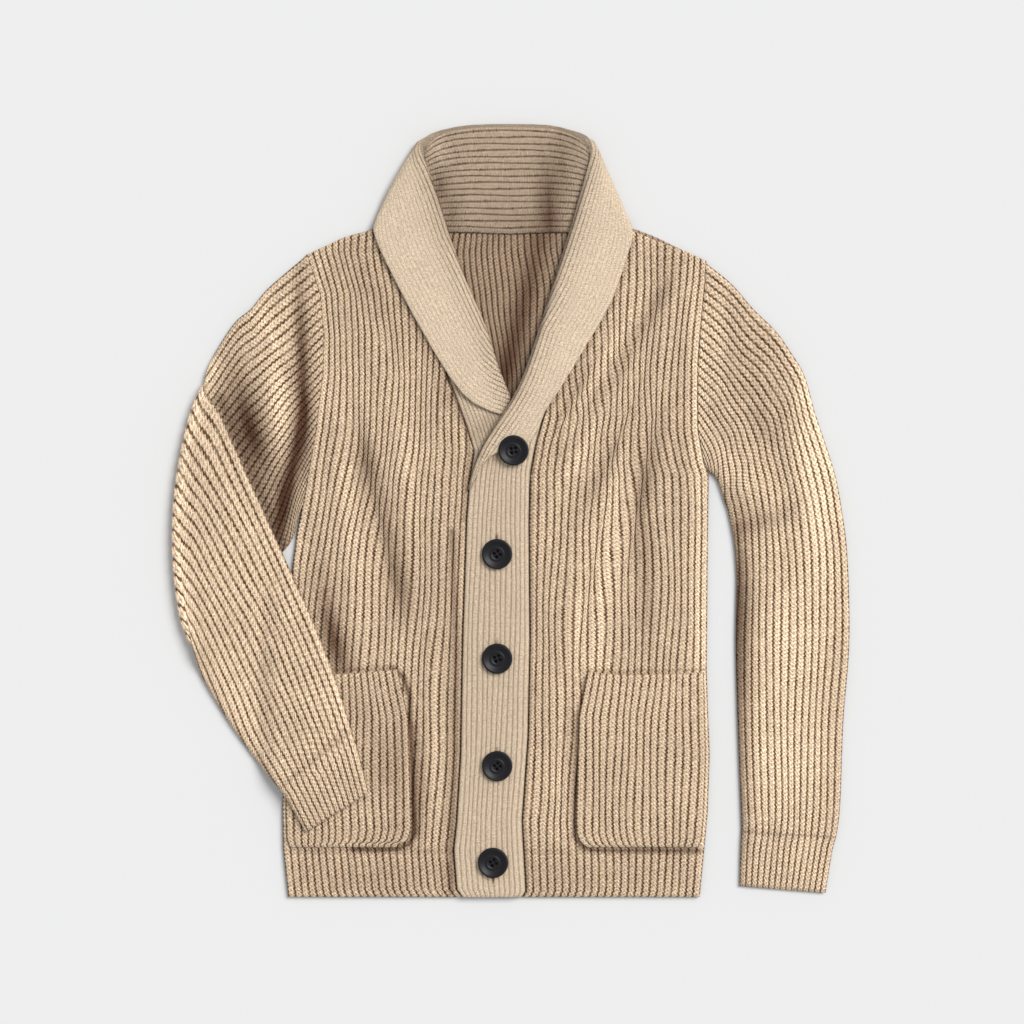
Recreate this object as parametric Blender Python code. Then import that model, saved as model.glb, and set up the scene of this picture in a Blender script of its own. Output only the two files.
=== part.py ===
"""Shawl collar cardigan in a chunky rib knit, laid flat on its back with one sleeve folded over the front.

+X is towards the wearer's left, +Y towards the collar and +Z up. The origin is the middle of the
footprint, on the surface that the garment lies on. Tables and sizes are in millimetres.
"""

import bpy
import numpy as np

MM = 0.001

# Cloth
WALL = 2.2          # plain wall of the knit
RIB_RISE = 1.2      # how far a body rib stands out of the wall
FINE_RISE = 0.6     # the same for the finer ribs of bands and collar
SEAM = 0.3          # gap between two pieces, one on the other
BAND_GAP = 1.2      # gap between the curved edges of a front and its band
EDGE = 1.3          # thickness to which a wall rounds off at its rim
END_SHARE = 0.4     # share of a rib's rise that is left at the ends of a panel

# Heights of the layers, from the surface up
FRONT_LEVEL = WALL + SEAM
FRONT_CREST = FRONT_LEVEL + WALL + RIB_RISE
BAND_LEVEL = FRONT_LEVEL + WALL + FINE_RISE + SEAM
BAND_CREST = BAND_LEVEL + WALL + FINE_RISE
POCKET_LEVEL = FRONT_CREST + SEAM
POCKET_CREST = POCKET_LEVEL + WALL + RIB_RISE

HEM = -386.0        # bottom edge
HEM_RIB = -340.0    # where the hem rib begins
TOP_LIMIT = 330.0   # above every top edge
TOP_STEPS = 1400    # heights tried in the search for a top edge

# Soft swells of the fronts: middle x and y, half length along the fold, half width, angle, height
SWELLS = (
    (-150.0, 95.0, 90.0, 16.0, 108.0, 2.2),
    (-112.0, 60.0, 120.0, 15.0, 96.0, 1.4),
    (-165.0, -60.0, 80.0, 18.0, 80.0, 1.6),
    (-80.0, -120.0, 130.0, 16.0, 88.0, 1.2),
    (60.0, -40.0, 120.0, 15.0, 82.0, 1.8),
    (110.0, 90.0, 100.0, 16.0, 78.0, 2.0),
    (150.0, 20.0, 90.0, 17.0, 100.0, 1.6),
    (105.0, -95.0, 90.0, 15.0, 95.0, 1.4),
)


def smooth(value):
    """0 below 0, 1 above 1 and a soft step between them."""
    value = np.clip(value, 0.0, 1.0)
    return value * value * (3.0 - 2.0 * value)


def swell(x, y):
    """Height of the soft folds at a place on the fronts, faded out at the hem and the shoulders."""
    height = np.zeros(np.broadcast(x, y).shape)
    for middle_x, middle_y, length, width, angle, rise in SWELLS:
        turn = np.radians(angle)
        along = (x - middle_x) * np.cos(turn) + (y - middle_y) * np.sin(turn)
        across = (y - middle_y) * np.cos(turn) - (x - middle_x) * np.sin(turn)
        height = height + rise * np.exp(-((along / length) ** 2) - (across / width) ** 2)
    return height * smooth((y - HEM_RIB) / 60.0) * smooth((250.0 - y) / 60.0)


def curve(table, at):
    """Second column of a two-column table at each value of the first, which rises down the table."""
    known = np.array(table)
    return np.interp(at, known[:, 0], known[:, 1])


def rib_fractions(count, rim):
    """Places across a strip, from 0 to 1, of each groove and each crest, and how high each stands."""
    steps = np.linspace(rim, 1.0 - rim, 2 * count + 1)
    places = np.concatenate([[0.0], steps, [1.0]])
    heights = np.concatenate([[0.0], np.arange(2 * count + 1) % 2, [0.0]])
    return places, heights


def zipped(first, second, first_at, second_at):
    """Triangles between two rows of points whose places along the row run from 0 to 1."""
    faces = []
    i = 0
    j = 0
    while i < len(first) - 1 or j < len(second) - 1:
        step_first = j == len(second) - 1
        if not step_first and i < len(first) - 1:
            step_first = first_at[i + 1] <= second_at[j + 1]
        if step_first:
            faces.append((first[i], first[i + 1], second[j]))
            i += 1
        else:
            faces.append((first[i], second[j + 1], second[j]))
            j += 1
    return faces


def grid_faces(index):
    """Two triangles for each cell of a grid of point numbers."""
    a, b = index[:-1, :-1].ravel(), index[:-1, 1:].ravel()
    c, d = index[1:, 1:].ravel(), index[1:, :-1].ravel()
    return [tuple(face) for face in np.concatenate([np.stack([a, b, c], 1), np.stack([a, c, d], 1)]).tolist()]


def add_object(name, points, faces, material):
    """Makes a mesh object from points in millimetres, with its faces turned outwards."""
    mesh = bpy.data.meshes.new(name)
    mesh.from_pydata((np.asarray(points) * MM).tolist(), [], faces)
    corners = np.asarray(points)[np.array(faces)]
    if np.einsum("ij,ij->i", corners[:, 0], np.cross(corners[:, 1], corners[:, 2])).sum() < 0.0:
        mesh.flip_normals()
    mesh.update()
    obj = bpy.data.objects.new(name, mesh)
    obj.data.materials.append(material)
    bpy.context.scene.collection.objects.link(obj)
    return obj


def add_wall(name, outer, inner, outer_at, inner_at, material):
    """A sheet with a rim: outer and inner grids of points, whose columns lie at the given fractions."""
    rows = outer.shape[0]
    outside = np.arange(rows * outer.shape[1]).reshape(rows, -1)
    inside = outside.size + np.arange(rows * inner.shape[1]).reshape(rows, -1)
    along = np.linspace(0.0, 1.0, rows)
    faces = grid_faces(outside)
    faces += [face[::-1] for face in grid_faces(inside)]
    faces += [face[::-1] for face in zipped(outside[0], inside[0], outer_at, inner_at)]
    faces += zipped(outside[-1], inside[-1], outer_at, inner_at)
    faces += zipped(outside[:, 0], inside[:, 0], along, along)
    faces += [face[::-1] for face in zipped(outside[:, -1], inside[:, -1], along, along)]
    points = np.concatenate([outer.reshape(-1, 3), inner.reshape(-1, 3)])
    return add_object(name, points, faces, material)


def add_tube(name, outer, inner, material):
    """An open tube: each row is a closed ring of outer points round a closed ring of inner points."""
    rows, across = outer.shape[:2]
    outside = np.arange(rows * across).reshape(rows, -1)
    inside = outside.size + np.arange(rows * inner.shape[1]).reshape(rows, -1)
    outside = np.concatenate([outside, outside[:, :1]], axis=1)
    inside = np.concatenate([inside, inside[:, :1]], axis=1)
    outer_at = ring_places(outer[0])
    inner_at = ring_places(inner[0])
    faces = grid_faces(outside)
    faces += [face[::-1] for face in grid_faces(inside)]
    faces += [face[::-1] for face in zipped(outside[0], inside[0], outer_at, inner_at)]
    faces += zipped(outside[-1], inside[-1], outer_at, inner_at)
    points = np.concatenate([outer.reshape(-1, 3), inner.reshape(-1, 3)])
    return add_object(name, points, faces, material)


def ring_places(ring):
    """How far round a closed ring each point lies, from 0 to 1, with the first point again at 1."""
    closed = np.concatenate([ring, ring[:1]])
    gone = np.concatenate([[0.0], np.cumsum(np.linalg.norm(np.diff(closed, axis=0), axis=1))])
    return gone / gone[-1]


# ---------------------------------------------------------------- materials

def knit(name, colour):
    material = bpy.data.materials.new(name)
    material.use_nodes = True
    shader = material.node_tree.nodes["Principled BSDF"]
    shader.inputs["Base Color"].default_value = (*colour, 1.0)
    shader.inputs["Roughness"].default_value = 0.95
    shader.inputs["Metallic"].default_value = 0.0
    return material


def horn(name):
    material = knit(name, (0.012, 0.012, 0.014))
    material.node_tree.nodes["Principled BSDF"].inputs["Roughness"].default_value = 0.25
    return material


# ---------------------------------------------------------------- back, fronts, bands and pockets

SHOULDER_LEFT = ((66.0, 303.0), (120.0, 282.0), (193.0, 251.0))
SHOULDER_RIGHT = ((-208.0, 256.0), (-169.0, 273.0), (-139.0, 282.0), (-73.0, 303.0))

# y and x of each upright edge, from the hem up
SIDE_LEFT = (
    (-386.0, 188.0), (-335.0, 193.0), (-301.0, 196.0), (-244.0, 198.0), (-161.0, 195.0), (-49.0, 196.0),
    (36.0, 197.0), (48.0, 193.0), (81.0, 187.0), (107.0, 186.5), (148.0, 187.0), (177.0, 189.0),
    (230.0, 194.0), (260.0, 195.0),
)
SIDE_RIGHT = (
    (-386.0, -224.0), (-339.0, -229.0), (-297.0, -230.0), (-150.0, -226.0), (-53.0, -219.5),
    (-22.0, -215.5), (-7.0, -212.5), (20.0, -207.5), (42.0, -204.0), (81.0, -197.0), (138.0, -190.0),
    (176.0, -189.0), (218.0, -193.0), (260.0, -207.0),
)
BAND_LEFT_EDGE = (
    (-390.0, -46.0), (-378.0, -55.0), (-339.0, -58.0), (-311.0, -55.0), (-244.0, -51.0), (-129.0, -49.0),
    (-9.0, -45.0), (31.0, -42.0), (60.0, -38.0), (300.0, -38.0),
)
BAND_RIGHT_EDGE = (
    (-390.0, 8.0), (-380.0, 14.0), (-311.0, 10.0), (-225.0, 16.0), (-129.0, 18.0), (-12.0, 17.0),
    (38.0, 18.0), (69.0, 24.0), (94.0, 31.0), (300.0, 31.0),
)

# x and y of each top edge, from the wearer's right to left
NECK_BACK = ((-64.0, 284.0), (-50.0, 279.0), (-3.0, 276.5), (44.0, 279.0), (58.0, 284.0))
TOP_BACK = SHOULDER_RIGHT + NECK_BACK + SHOULDER_LEFT
TOP_FRONT_LEFT = (
    (18.2, 36.0), (25.2, 69.0), (32.2, 94.0), (42.0, 133.0), (52.0, 171.0), (61.0, 217.0), (68.0, 265.0),
    (71.0, 301.0),
) + SHOULDER_LEFT[1:]
TOP_FRONT_RIGHT = SHOULDER_RIGHT[:3] + (
    (-74.0, 302.0), (-72.0, 265.0), (-70.0, 217.0), (-67.0, 171.0), (-63.0, 133.0), (-55.0, 111.0),
    (-46.0, 86.0), (-38.0, 60.0),
)
TOP_BUTTONHOLE_BAND = (
    (-44.0, 26.0), (-36.0, 43.0), (-26.0, 58.0), (-14.0, 70.0), (0.0, 80.0), (16.0, 90.0), (31.0, 99.0),
)
TOP_BUTTON_BAND = (
    (-63.0, 140.0), (-50.0, 129.0), (-36.0, 113.0), (-20.0, 103.0), (-7.0, 97.0), (8.0, 90.0),
)


def panel_points(left, right, top, places, rows, bottom=HEM):
    """x and y on a panel. A column is a constant share of the way from the left edge to the right one,
    and ends where it meets the top edge. rows are heights up to the hem rib, then shares of the rest."""
    search = np.linspace(bottom, TOP_LIMIT, TOP_STEPS)
    width = curve(right, search) - curve(left, search)
    x = curve(left, search)[None] + places[:, None] * width[None]
    beyond = search[None] > curve(top, x)
    beyond[:, -1] = True
    tops = search[np.argmax(beyond, axis=1)]
    low, shares = rows
    y = np.concatenate([
        np.repeat(np.array(low)[:, None], len(places), axis=1),
        low[-1] + np.array(shares)[:, None] * (tops - low[-1])[None],
    ])
    x = curve(left, y) + places[None] * (curve(right, y) - curve(left, y))
    return x, y


def add_panel(name, left, right, top, level, ribs, rise, rows, material, sheet_swell=swell, rim=0.012):
    """A ribbed panel that lies at a level: ribs on its upper face, and a plain lower face."""
    places, crests = rib_fractions(ribs, rim)
    plain = np.linspace(0.0, 1.0, 9)
    x, y = panel_points(left, right, top, places, rows)
    height = WALL + rise * crests[None] * np.ones(x.shape)
    height[:, [0, -1]] = EDGE
    height[[0, -1]] = EDGE + END_SHARE * (height[[0, -1]] - WALL)
    outer = np.stack([x, y, level + height + sheet_swell(x, y)], axis=-1)
    x, y = panel_points(left, right, top, plain, rows)
    inner = np.stack([x, y, level + sheet_swell(x, y)], axis=-1)
    return add_wall(name, outer, inner, places, plain, material)


FRONT_RIBS = 23


def flat(x, y):
    return np.zeros(np.broadcast(x, y).shape)


def moved(table, across):
    """A table of an upright edge, moved sideways."""
    return tuple((y, x + across) for y, x in table)


PANEL_ROWS = (
    (HEM, HEM + 3.0, HEM_RIB - 2.0, HEM_RIB + 3.0),
    (0.16, 0.33, 0.5, 0.6, 0.66, 0.73, 0.81, 0.9, 0.985, 1.0),
)
BACK_ROWS = (
    (HEM, HEM_RIB, -290.0, -240.0, -150.0, -50.0, -15.0, 20.0, 42.0, 84.0, 104.0, 116.0, 134.0, 152.0),
    (0.25, 0.5, 0.75, 1.0),
)
BAND_ROWS = ((-388.0, -385.0, HEM_RIB), (0.2, 0.4, 0.6, 0.75, 0.83, 0.9, 0.985, 1.0))
NECK_RIBS = (-74.0, 72.0)  # the back's inner face shows between these x
INNER_PITCH = 6.2           # from rib to rib on that face
CHEST = 100.0               # height at which the back's columns are spaced
NECK_RIBS_START = (
    (-74.0, 310.0), (-70.0, 240.0), (-66.0, 190.0), (-60.0, 155.0), (-50.0, 135.0), (-20.0, 108.0),
    (10.0, 104.0), (28.0, 112.0), (39.0, 150.0), (49.0, 190.0), (58.0, 235.0), (66.0, 285.0), (72.0, 310.0),
)


def add_back(material):
    """The back lies outer face down, so its lower face is flat. Its inner face has ribs where it shows."""
    low, high = NECK_RIBS
    count = int(round((high - low) / INNER_PITCH))
    middle = np.linspace(low, high, 2 * count + 1)
    x_left = curve(SIDE_RIGHT, CHEST)
    width = curve(SIDE_LEFT, CHEST) - x_left
    side = np.linspace(0.0, 1.0, 7)[:-1]
    places = np.concatenate([
        side * (low - x_left) / width,
        (middle - x_left) / width,
        1.0 - side[::-1] * (1.0 - (high - x_left) / width),
    ])
    crests = np.concatenate([np.zeros(6), np.arange(2 * count + 1) % 2, np.zeros(6)])
    x, y = panel_points(SIDE_RIGHT, SIDE_LEFT, TOP_BACK, places, BACK_ROWS)
    row_below = np.concatenate([y[:1], y[:-1]])
    height = WALL + RIB_RISE * crests[None] * (row_below > curve(NECK_RIBS_START, x))
    height[:, [0, -1]] = EDGE
    height[[0, -1]] = EDGE
    outer = np.stack([x, y, height], axis=-1)
    inner = np.stack([x, y, np.zeros(x.shape)], axis=-1)
    return add_wall("back", outer, inner, places, places, material)


def band_sag(x, y):
    """The upper band drops to the level of the front along the edge that is sewn to it."""
    edge = curve(BAND_RIGHT_EDGE, y)
    return swell(x, y) - 2.0 * smooth((x - edge + 11.0) / 10.0)


POCKET_LEFT_SIDES = (
    ((-335.0, 74.0), (-331.0, 68.0), (-322.0, 64.5), (-301.0, 64.0), (-205.0, 67.0), (-165.0, 75.0)),
    ((-336.0, 186.0), (-328.0, 190.0), (-300.0, 192.0), (-244.0, 194.0), (-161.0, 192.0)),
)
POCKET_RIGHT_SIDES = (
    ((-339.0, -221.0), (-328.0, -225.5), (-297.0, -226.5), (-160.0, -222.0)),
    (
        (-333.0, -115.0), (-329.0, -104.0), (-318.0, -100.5), (-301.0, -101.0), (-205.0, -104.0),
        (-160.0, -114.0),
    ),
)
POCKET_LEFT_TOP = ((64.0, -163.0), (82.0, -161.0), (110.0, -164.0), (150.0, -163.0), (196.0, -161.0))
POCKET_RIGHT_TOP = ((-226.0, -163.0), (-179.0, -163.0), (-130.0, -160.0), (-116.0, -158.0), (-100.0, -160.0))
POCKET_RIBS = 16
POCKET_RIM = 0.02  # share of the width that the plain edge takes on each side
POCKET_ROWS = ((-336.0, -333.0, -322.0), (0.15, 0.5, 0.85, 0.98, 1.0))


def add_pocket(name, sides, top, material):
    """A patch pocket made from the front's own swell, moved out, with its lower corners rounded."""
    left, right = sides
    level, ribs, rise = POCKET_LEVEL, POCKET_RIBS, RIB_RISE
    return add_panel(name, left, right, top, level, ribs, rise, POCKET_ROWS, material, rim=POCKET_RIM)


# ---------------------------------------------------------------- sleeves

GAP = 0.6                       # hollow between the two walls of a sleeve that lies flat
TUBE_HALF = WALL + GAP / 2.0    # from the middle of the hollow to the face of a wall
FOLD_RADIUS = 3.25              # of the middle surface, at the elbow crease
ARMHOLE_GAP = 0.6               # between the armhole's seam line and the sleeve
SLEEVE_RIBS = 15                # on each face of a sleeve

# Outer edge x and y, inner edge x and y, and how far the section bows sideways at its middle
SLEEVE_LEFT = (
    (195.5, 249.0, 196.5, 44.0, -7.0),
    (221.0, 228.0, 199.0, 41.0, -3.0),
    (242.0, 203.0, 201.0, 38.0, 0.0),
    (264.0, 181.0, 203.0, 35.0, 2.0),
    (279.0, 160.0, 206.0, 30.0, 3.0),
    (293.0, 136.0, 209.0, 22.0, 3.0),
    (303.0, 101.0, 212.0, 12.0, 2.0),
    (313.0, 71.0, 216.0, 1.0, 1.0),
    (324.0, 36.0, 220.0, -17.0, 0.0),
    (330.0, 4.0, 223.0, -36.0, 0.0),
    (336.0, -44.0, 225.0, -69.0, 0.0),
    (338.0, -130.0, 224.0, -129.0, 0.0),
    (332.0, -210.0, 226.0, -210.0, 0.0),
    (329.0, -290.0, 229.0, -290.0, 0.0),
    (325.5, -322.0, 230.0, -316.0, 0.0),
    (321.0, -340.0, 229.0, -336.0, 0.0),
    (314.0, -382.0, 228.0, -375.0, 0.0),
)
UPPER_ARM = (
    (-209.5, 254.0, -211.0, -11.0, 18.0),
    (-232.0, 235.0, -214.0, -17.0, 12.0),
    (-248.0, 220.0, -218.0, -25.0, 6.0),
    (-261.0, 203.0, -224.0, -34.0, 0.0),
    (-277.0, 190.0, -234.0, -45.0, -4.0),
    (-294.0, 163.0, -254.0, -64.0, -9.0),
    (-303.0, 140.0, -282.0, -89.0, -13.0),
)
CREASE = (-303.5, 132.0, -319.0, -134.0, -19.7)
FOREARM = (
    (-301.0, 118.0, -317.0, -145.0, -15.0),
    (-288.0, 90.0, -313.0, -160.0, -10.0),
    (-267.0, 42.0, -306.0, -174.0, -5.0),
    (-244.0, -9.0, -296.0, -191.0, -2.0),
    (-222.0, -58.0, -283.0, -212.0, 0.0),
    (-202.0, -102.0, -269.0, -232.0, 0.0),
    (-184.0, -146.0, -254.0, -252.0, 0.0),
    (-170.0, -186.0, -240.0, -268.0, 0.0),
    (-156.0, -231.0, -229.0, -281.0, 0.0),
    (-153.0, -240.0, -226.0, -285.0, 0.0),
    (-143.0, -281.0, -206.0, -320.0, 0.0),
)
FOLD_TURNS = (0.0, 36.0, 72.0, 108.0, 144.0, 180.0)

UNDERARM_LINE = (-211.0, -11.0, -319.0, -134.0)  # the upper arm lies above this line
SKIRT = 26.0                                      # over which cloth sinks past the edge of what it lies on


def section_points(row, places):
    """Points along a sleeve section, from its outer to its inner edge, with a sideways bow."""
    outer_x, outer_y, inner_x, inner_y, bow = row
    x = outer_x + places * (inner_x - outer_x) + 4.0 * bow * places * (1.0 - places)
    y = outer_y + places * (inner_y - outer_y)
    return x, y


def support(x, y):
    """Height of what the folded forearm lies on: its own upper arm, the front, then the pocket."""
    x1, y1, x2, y2 = UNDERARM_LINE
    length = np.hypot(x2 - x1, y2 - y1)
    above = ((y - y1) * (x1 - x2) - (x - x1) * (y1 - y2)) / length
    inside = x - curve(SIDE_RIGHT, y)
    lower = np.minimum(inside, -150.0 - y)
    upper_arm = (2.0 * FOLD_RADIUS) * smooth(1.0 + above / SKIRT)
    front = (FRONT_CREST + SEAM + swell(x, y)) * smooth(1.0 + (inside + 5.0) / SKIRT)
    pocket = (POCKET_CREST + SEAM + 0.3 + swell(x, y)) * smooth(1.0 + (lower + 5.0) / SKIRT)
    return np.maximum(np.maximum(upper_arm, front), np.maximum(pocket, 0.3))


def straight_frames(places):
    """Middle surface of the sleeve that lies straight, kept clear of the armhole seam."""
    for row in SLEEVE_LEFT:
        x, y = section_points(row, places)
        x = np.maximum(x, curve(SIDE_LEFT, y) + ARMHOLE_GAP)
        yield x, y, np.full(x.shape, TUBE_HALF), np.array([0.0, 0.0, 1.0])


def folded_frames(places):
    """Middle surface of the folded sleeve: the upper arm on the surface, a roll along the crease, and
    the forearm, turned over, on what lies under it. The normal is that of the sleeve's front face."""
    for row in UPPER_ARM:
        x, y = section_points(row, places)
        x = np.minimum(x, curve(SIDE_RIGHT, y) - ARMHOLE_GAP)
        yield x, y, np.full(x.shape, TUBE_HALF), np.array([0.0, 0.0, 1.0])
    x, y = section_points(CREASE, places)
    run_x = np.gradient(x)
    run_y = np.gradient(y)
    length = np.hypot(run_x, run_y)
    out_x = run_y / length
    out_y = -run_x / length
    for turn in np.radians(FOLD_TURNS):
        reach = FOLD_RADIUS * np.sin(turn)
        height = TUBE_HALF + FOLD_RADIUS * (1.0 - np.cos(turn))
        up = np.full(x.shape, np.cos(turn))
        normal = np.stack([-out_x * np.sin(turn), -out_y * np.sin(turn), up], axis=-1)
        yield x + out_x * reach, y + out_y * reach, np.full(x.shape, height), normal
    for row in FOREARM:
        x, y = section_points(row, places)
        yield x, y, TUBE_HALF + support(x, y), np.array([0.0, 0.0, -1.0])


def add_sleeve(name, frames, ribs, cuff_rows, material):
    """A flattened tube. Ribs rise on each face that looks up, and a face that rests is plain."""
    places, crests = rib_fractions(ribs, 0.03)
    inside_at = np.linspace(0.035, 0.965, 7)
    middle = [frame for frame in frames(places)]
    facing = np.array([np.broadcast_to(frame[3], places.shape + (3,)) for frame in middle])
    centre = np.array([np.stack(frame[:3], axis=-1) for frame in middle])
    rise = np.full(len(middle), RIB_RISE)
    rise[-cuff_rows:] = 0.7 * RIB_RISE
    round_off = np.where((places == 0.0) | (places == 1.0), 0.0, 1.0)
    faces = []
    for side in (1.0, -1.0):
        up = smooth(0.1 + facing[:, :, 2] * side * 1.5)
        away = (TUBE_HALF + rise[:, None] * crests[None] * up) * round_off[None]
        faces.append(centre + facing * away[:, :, None] * side)
    outer = np.concatenate([faces[0], faces[1][:, -2:0:-1]], axis=1)
    inner_middle = [frame for frame in frames(inside_at)]
    inner_facing = np.array([np.broadcast_to(frame[3], inside_at.shape + (3,)) for frame in inner_middle])
    inner_centre = np.array([np.stack(frame[:3], axis=-1) for frame in inner_middle])
    walls = [inner_centre + inner_facing * (GAP / 2.0) * side for side in (1.0, -1.0)]
    inner = np.concatenate([walls[0], walls[1][:, ::-1]], axis=1)
    return add_tube(name, outer, inner, material)


# ---------------------------------------------------------------- collar

# One row for each station along the strip, from the wearer's right lapel round the neck to the left one:
# neck seam x and y, roll x and y, free edge x and y, turn of the roll, heights of the middle surface at
# the seam, at the middle of the roll and at the free edge, radius of the roll. The roll turns from +90
# on a lapel, where the fall lies over the stand, to -90 at the back, where it lies under it.
COLLAR = (
    (-9.0, 104.0, 1.0, 107.0, -6.0, 95.0, 90.0, 4.6, 5.8, 7.0, 1.2),
    (-39.0, 136.0, -14.0, 144.0, -38.0, 108.0, 90.0, 4.7, 6.3, 7.9, 1.6),
    (-64.0, 164.0, -27.0, 185.0, -62.0, 134.0, 90.0, 4.8, 6.6, 8.4, 1.8),
    (-68.0, 217.0, -47.0, 231.0, -97.0, 193.0, 90.0, 4.8, 6.6, 8.4, 1.8),
    (-70.0, 265.0, -63.0, 276.0, -127.0, 251.0, 85.0, 4.8, 6.7, 8.4, 1.8),
    (-71.0, 301.0, -72.0, 316.0, -137.0, 275.0, 60.0, 4.8, 7.0, 8.4, 1.8),
    (-70.0, 305.0, -80.0, 349.0, -138.5, 283.0, 35.0, 4.8, 7.0, 7.9, 1.8),
    (-68.0, 303.0, -87.0, 363.0, -135.0, 290.0, 0.0, 4.6, 6.4, 4.7, 1.8),
    (-64.0, 297.0, -81.0, 374.0, -127.0, 295.0, -45.0, 4.2, 5.2, 1.5, 1.8),
    (-57.0, 287.0, -66.0, 382.0, -98.0, 306.0, -85.0, 3.6, 3.4, 1.1, 1.8),
    (-42.0, 281.0, -42.0, 386.0, -54.0, 305.0, -90.0, 3.4, 3.3, 1.1, 1.8),
    (-3.0, 278.5, -3.0, 387.0, -3.0, 304.0, -90.0, 3.4, 3.3, 1.1, 1.8),
    (36.0, 281.0, 36.0, 386.0, 48.0, 305.0, -90.0, 3.4, 3.3, 1.1, 1.8),
    (51.0, 287.0, 58.0, 381.0, 84.0, 306.0, -85.0, 3.6, 3.4, 1.1, 1.8),
    (58.0, 297.0, 73.0, 373.0, 109.0, 295.0, -45.0, 4.2, 5.2, 1.5, 1.8),
    (63.0, 303.0, 79.0, 362.0, 117.0, 290.0, 0.0, 4.6, 6.4, 4.7, 1.8),
    (66.0, 304.0, 74.0, 348.0, 120.5, 281.0, 35.0, 4.8, 7.0, 7.9, 1.8),
    (68.0, 299.0, 69.0, 320.0, 120.0, 272.0, 60.0, 4.8, 7.0, 8.4, 1.8),
    (66.0, 265.0, 59.0, 283.0, 116.0, 258.0, 85.0, 4.8, 6.7, 8.4, 1.8),
    (58.0, 217.0, 43.0, 231.0, 99.0, 209.0, 90.0, 4.8, 6.6, 8.4, 1.8),
    (48.0, 171.0, 28.0, 183.0, 74.0, 166.0, 90.0, 5.6, 7.4, 9.2, 1.8),
    (37.0, 133.0, 13.0, 138.0, 50.0, 126.0, 90.0, 9.0, 10.8, 12.2, 1.8),
    (24.0, 110.0, -1.0, 109.0, 34.0, 101.0, 90.0, 9.7, 11.4, 12.9, 1.8),
    (2.0, 87.0, -17.0, 85.0, 12.0, 84.0, 90.0, 9.7, 11.4, 12.9, 1.8),
    (-18.0, 66.0, -30.0, 63.0, -12.5, 73.0, 90.0, 9.7, 11.4, 12.6, 1.7),
    (-33.0, 45.0, -38.5, 41.0, -28.0, 52.0, 90.0, 9.7, 11.1, 12.2, 1.5),
    (-39.5, 27.0, -43.0, 22.0, -37.5, 32.0, 90.0, 9.6, 10.8, 12.0, 1.2),
)
COLLAR_WALL = 1.6
STATION_STEPS = 1
ROLL_STEPS = 5
STAND_RIBS = 16
FALL_RIBS = 15


def through(table, steps):
    """A smooth curve through each row of a table, with a number of steps between rows."""
    known = np.array(table)
    before = np.concatenate([2.0 * known[:1] - known[1:2], known[:-1]])
    after = np.concatenate([known[1:], 2.0 * known[-1:] - known[-2:-1]])
    slope = (after - before) / 2.0
    share = np.arange(steps) / steps
    a, b = known[:-1, None], known[1:, None]
    m, n = slope[:-1, None], slope[1:, None]
    t = share[None, :, None]
    made = a * (2 * t**3 - 3 * t**2 + 1) + b * (3 * t**2 - 2 * t**3)
    made = made + m * (t**3 - 2 * t**2 + t) + n * (t**3 - t**2)
    return np.concatenate([made.reshape(-1, known.shape[1]), known[-1:]])


def collar_grid(stand_at, fall_at):
    """Middle surface of the collar. Across a station it runs straight from the neck seam to the roll,
    half a turn round the roll, then straight to the free edge."""
    row = through(COLLAR, STATION_STEPS)
    seam = np.stack([row[:, 0], row[:, 1], row[:, 7]], axis=1)
    edge = np.stack([row[:, 4], row[:, 5], row[:, 9]], axis=1)
    run = np.stack([np.gradient(row[:, 2]), np.gradient(row[:, 3]), np.zeros(len(row))], axis=1)
    run /= np.linalg.norm(run, axis=1, keepdims=True)
    turn = np.radians(row[:, 6])[:, None]
    up = np.array([[0.0, 0.0, 1.0]])
    outward = np.cos(turn) * up - np.sin(turn) * np.cross(up, run)
    over = np.cross(outward, run)
    radius = row[:, 10:11]
    middle = np.stack([row[:, 2], row[:, 3], row[:, 8]], axis=1)
    middle = middle - outward * radius * np.array([[1.0, 1.0, 0.0]])
    start = middle - over * radius
    end = middle + over * radius
    stand = seam[:, None] + stand_at[None, :, None] * (start - seam)[:, None]
    bend = np.radians(np.linspace(-90.0, 90.0, ROLL_STEPS + 2)[1:-1])[None, :, None]
    round_roll = np.sin(bend) * over[:, None] + np.cos(bend) * outward[:, None]
    roll = middle[:, None] + radius[:, None] * round_roll
    fall = end[:, None] + fall_at[None, :, None] * (edge - end)[:, None]
    return np.concatenate([stand, roll, fall], axis=1)


def surface_normals(grid):
    """Normal of a grid of points, on the side of the visible face of the knit."""
    along = np.gradient(grid, axis=0)
    across = np.gradient(grid, axis=1)
    normal = np.cross(across, along)
    return normal / np.linalg.norm(normal, axis=2, keepdims=True)


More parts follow.
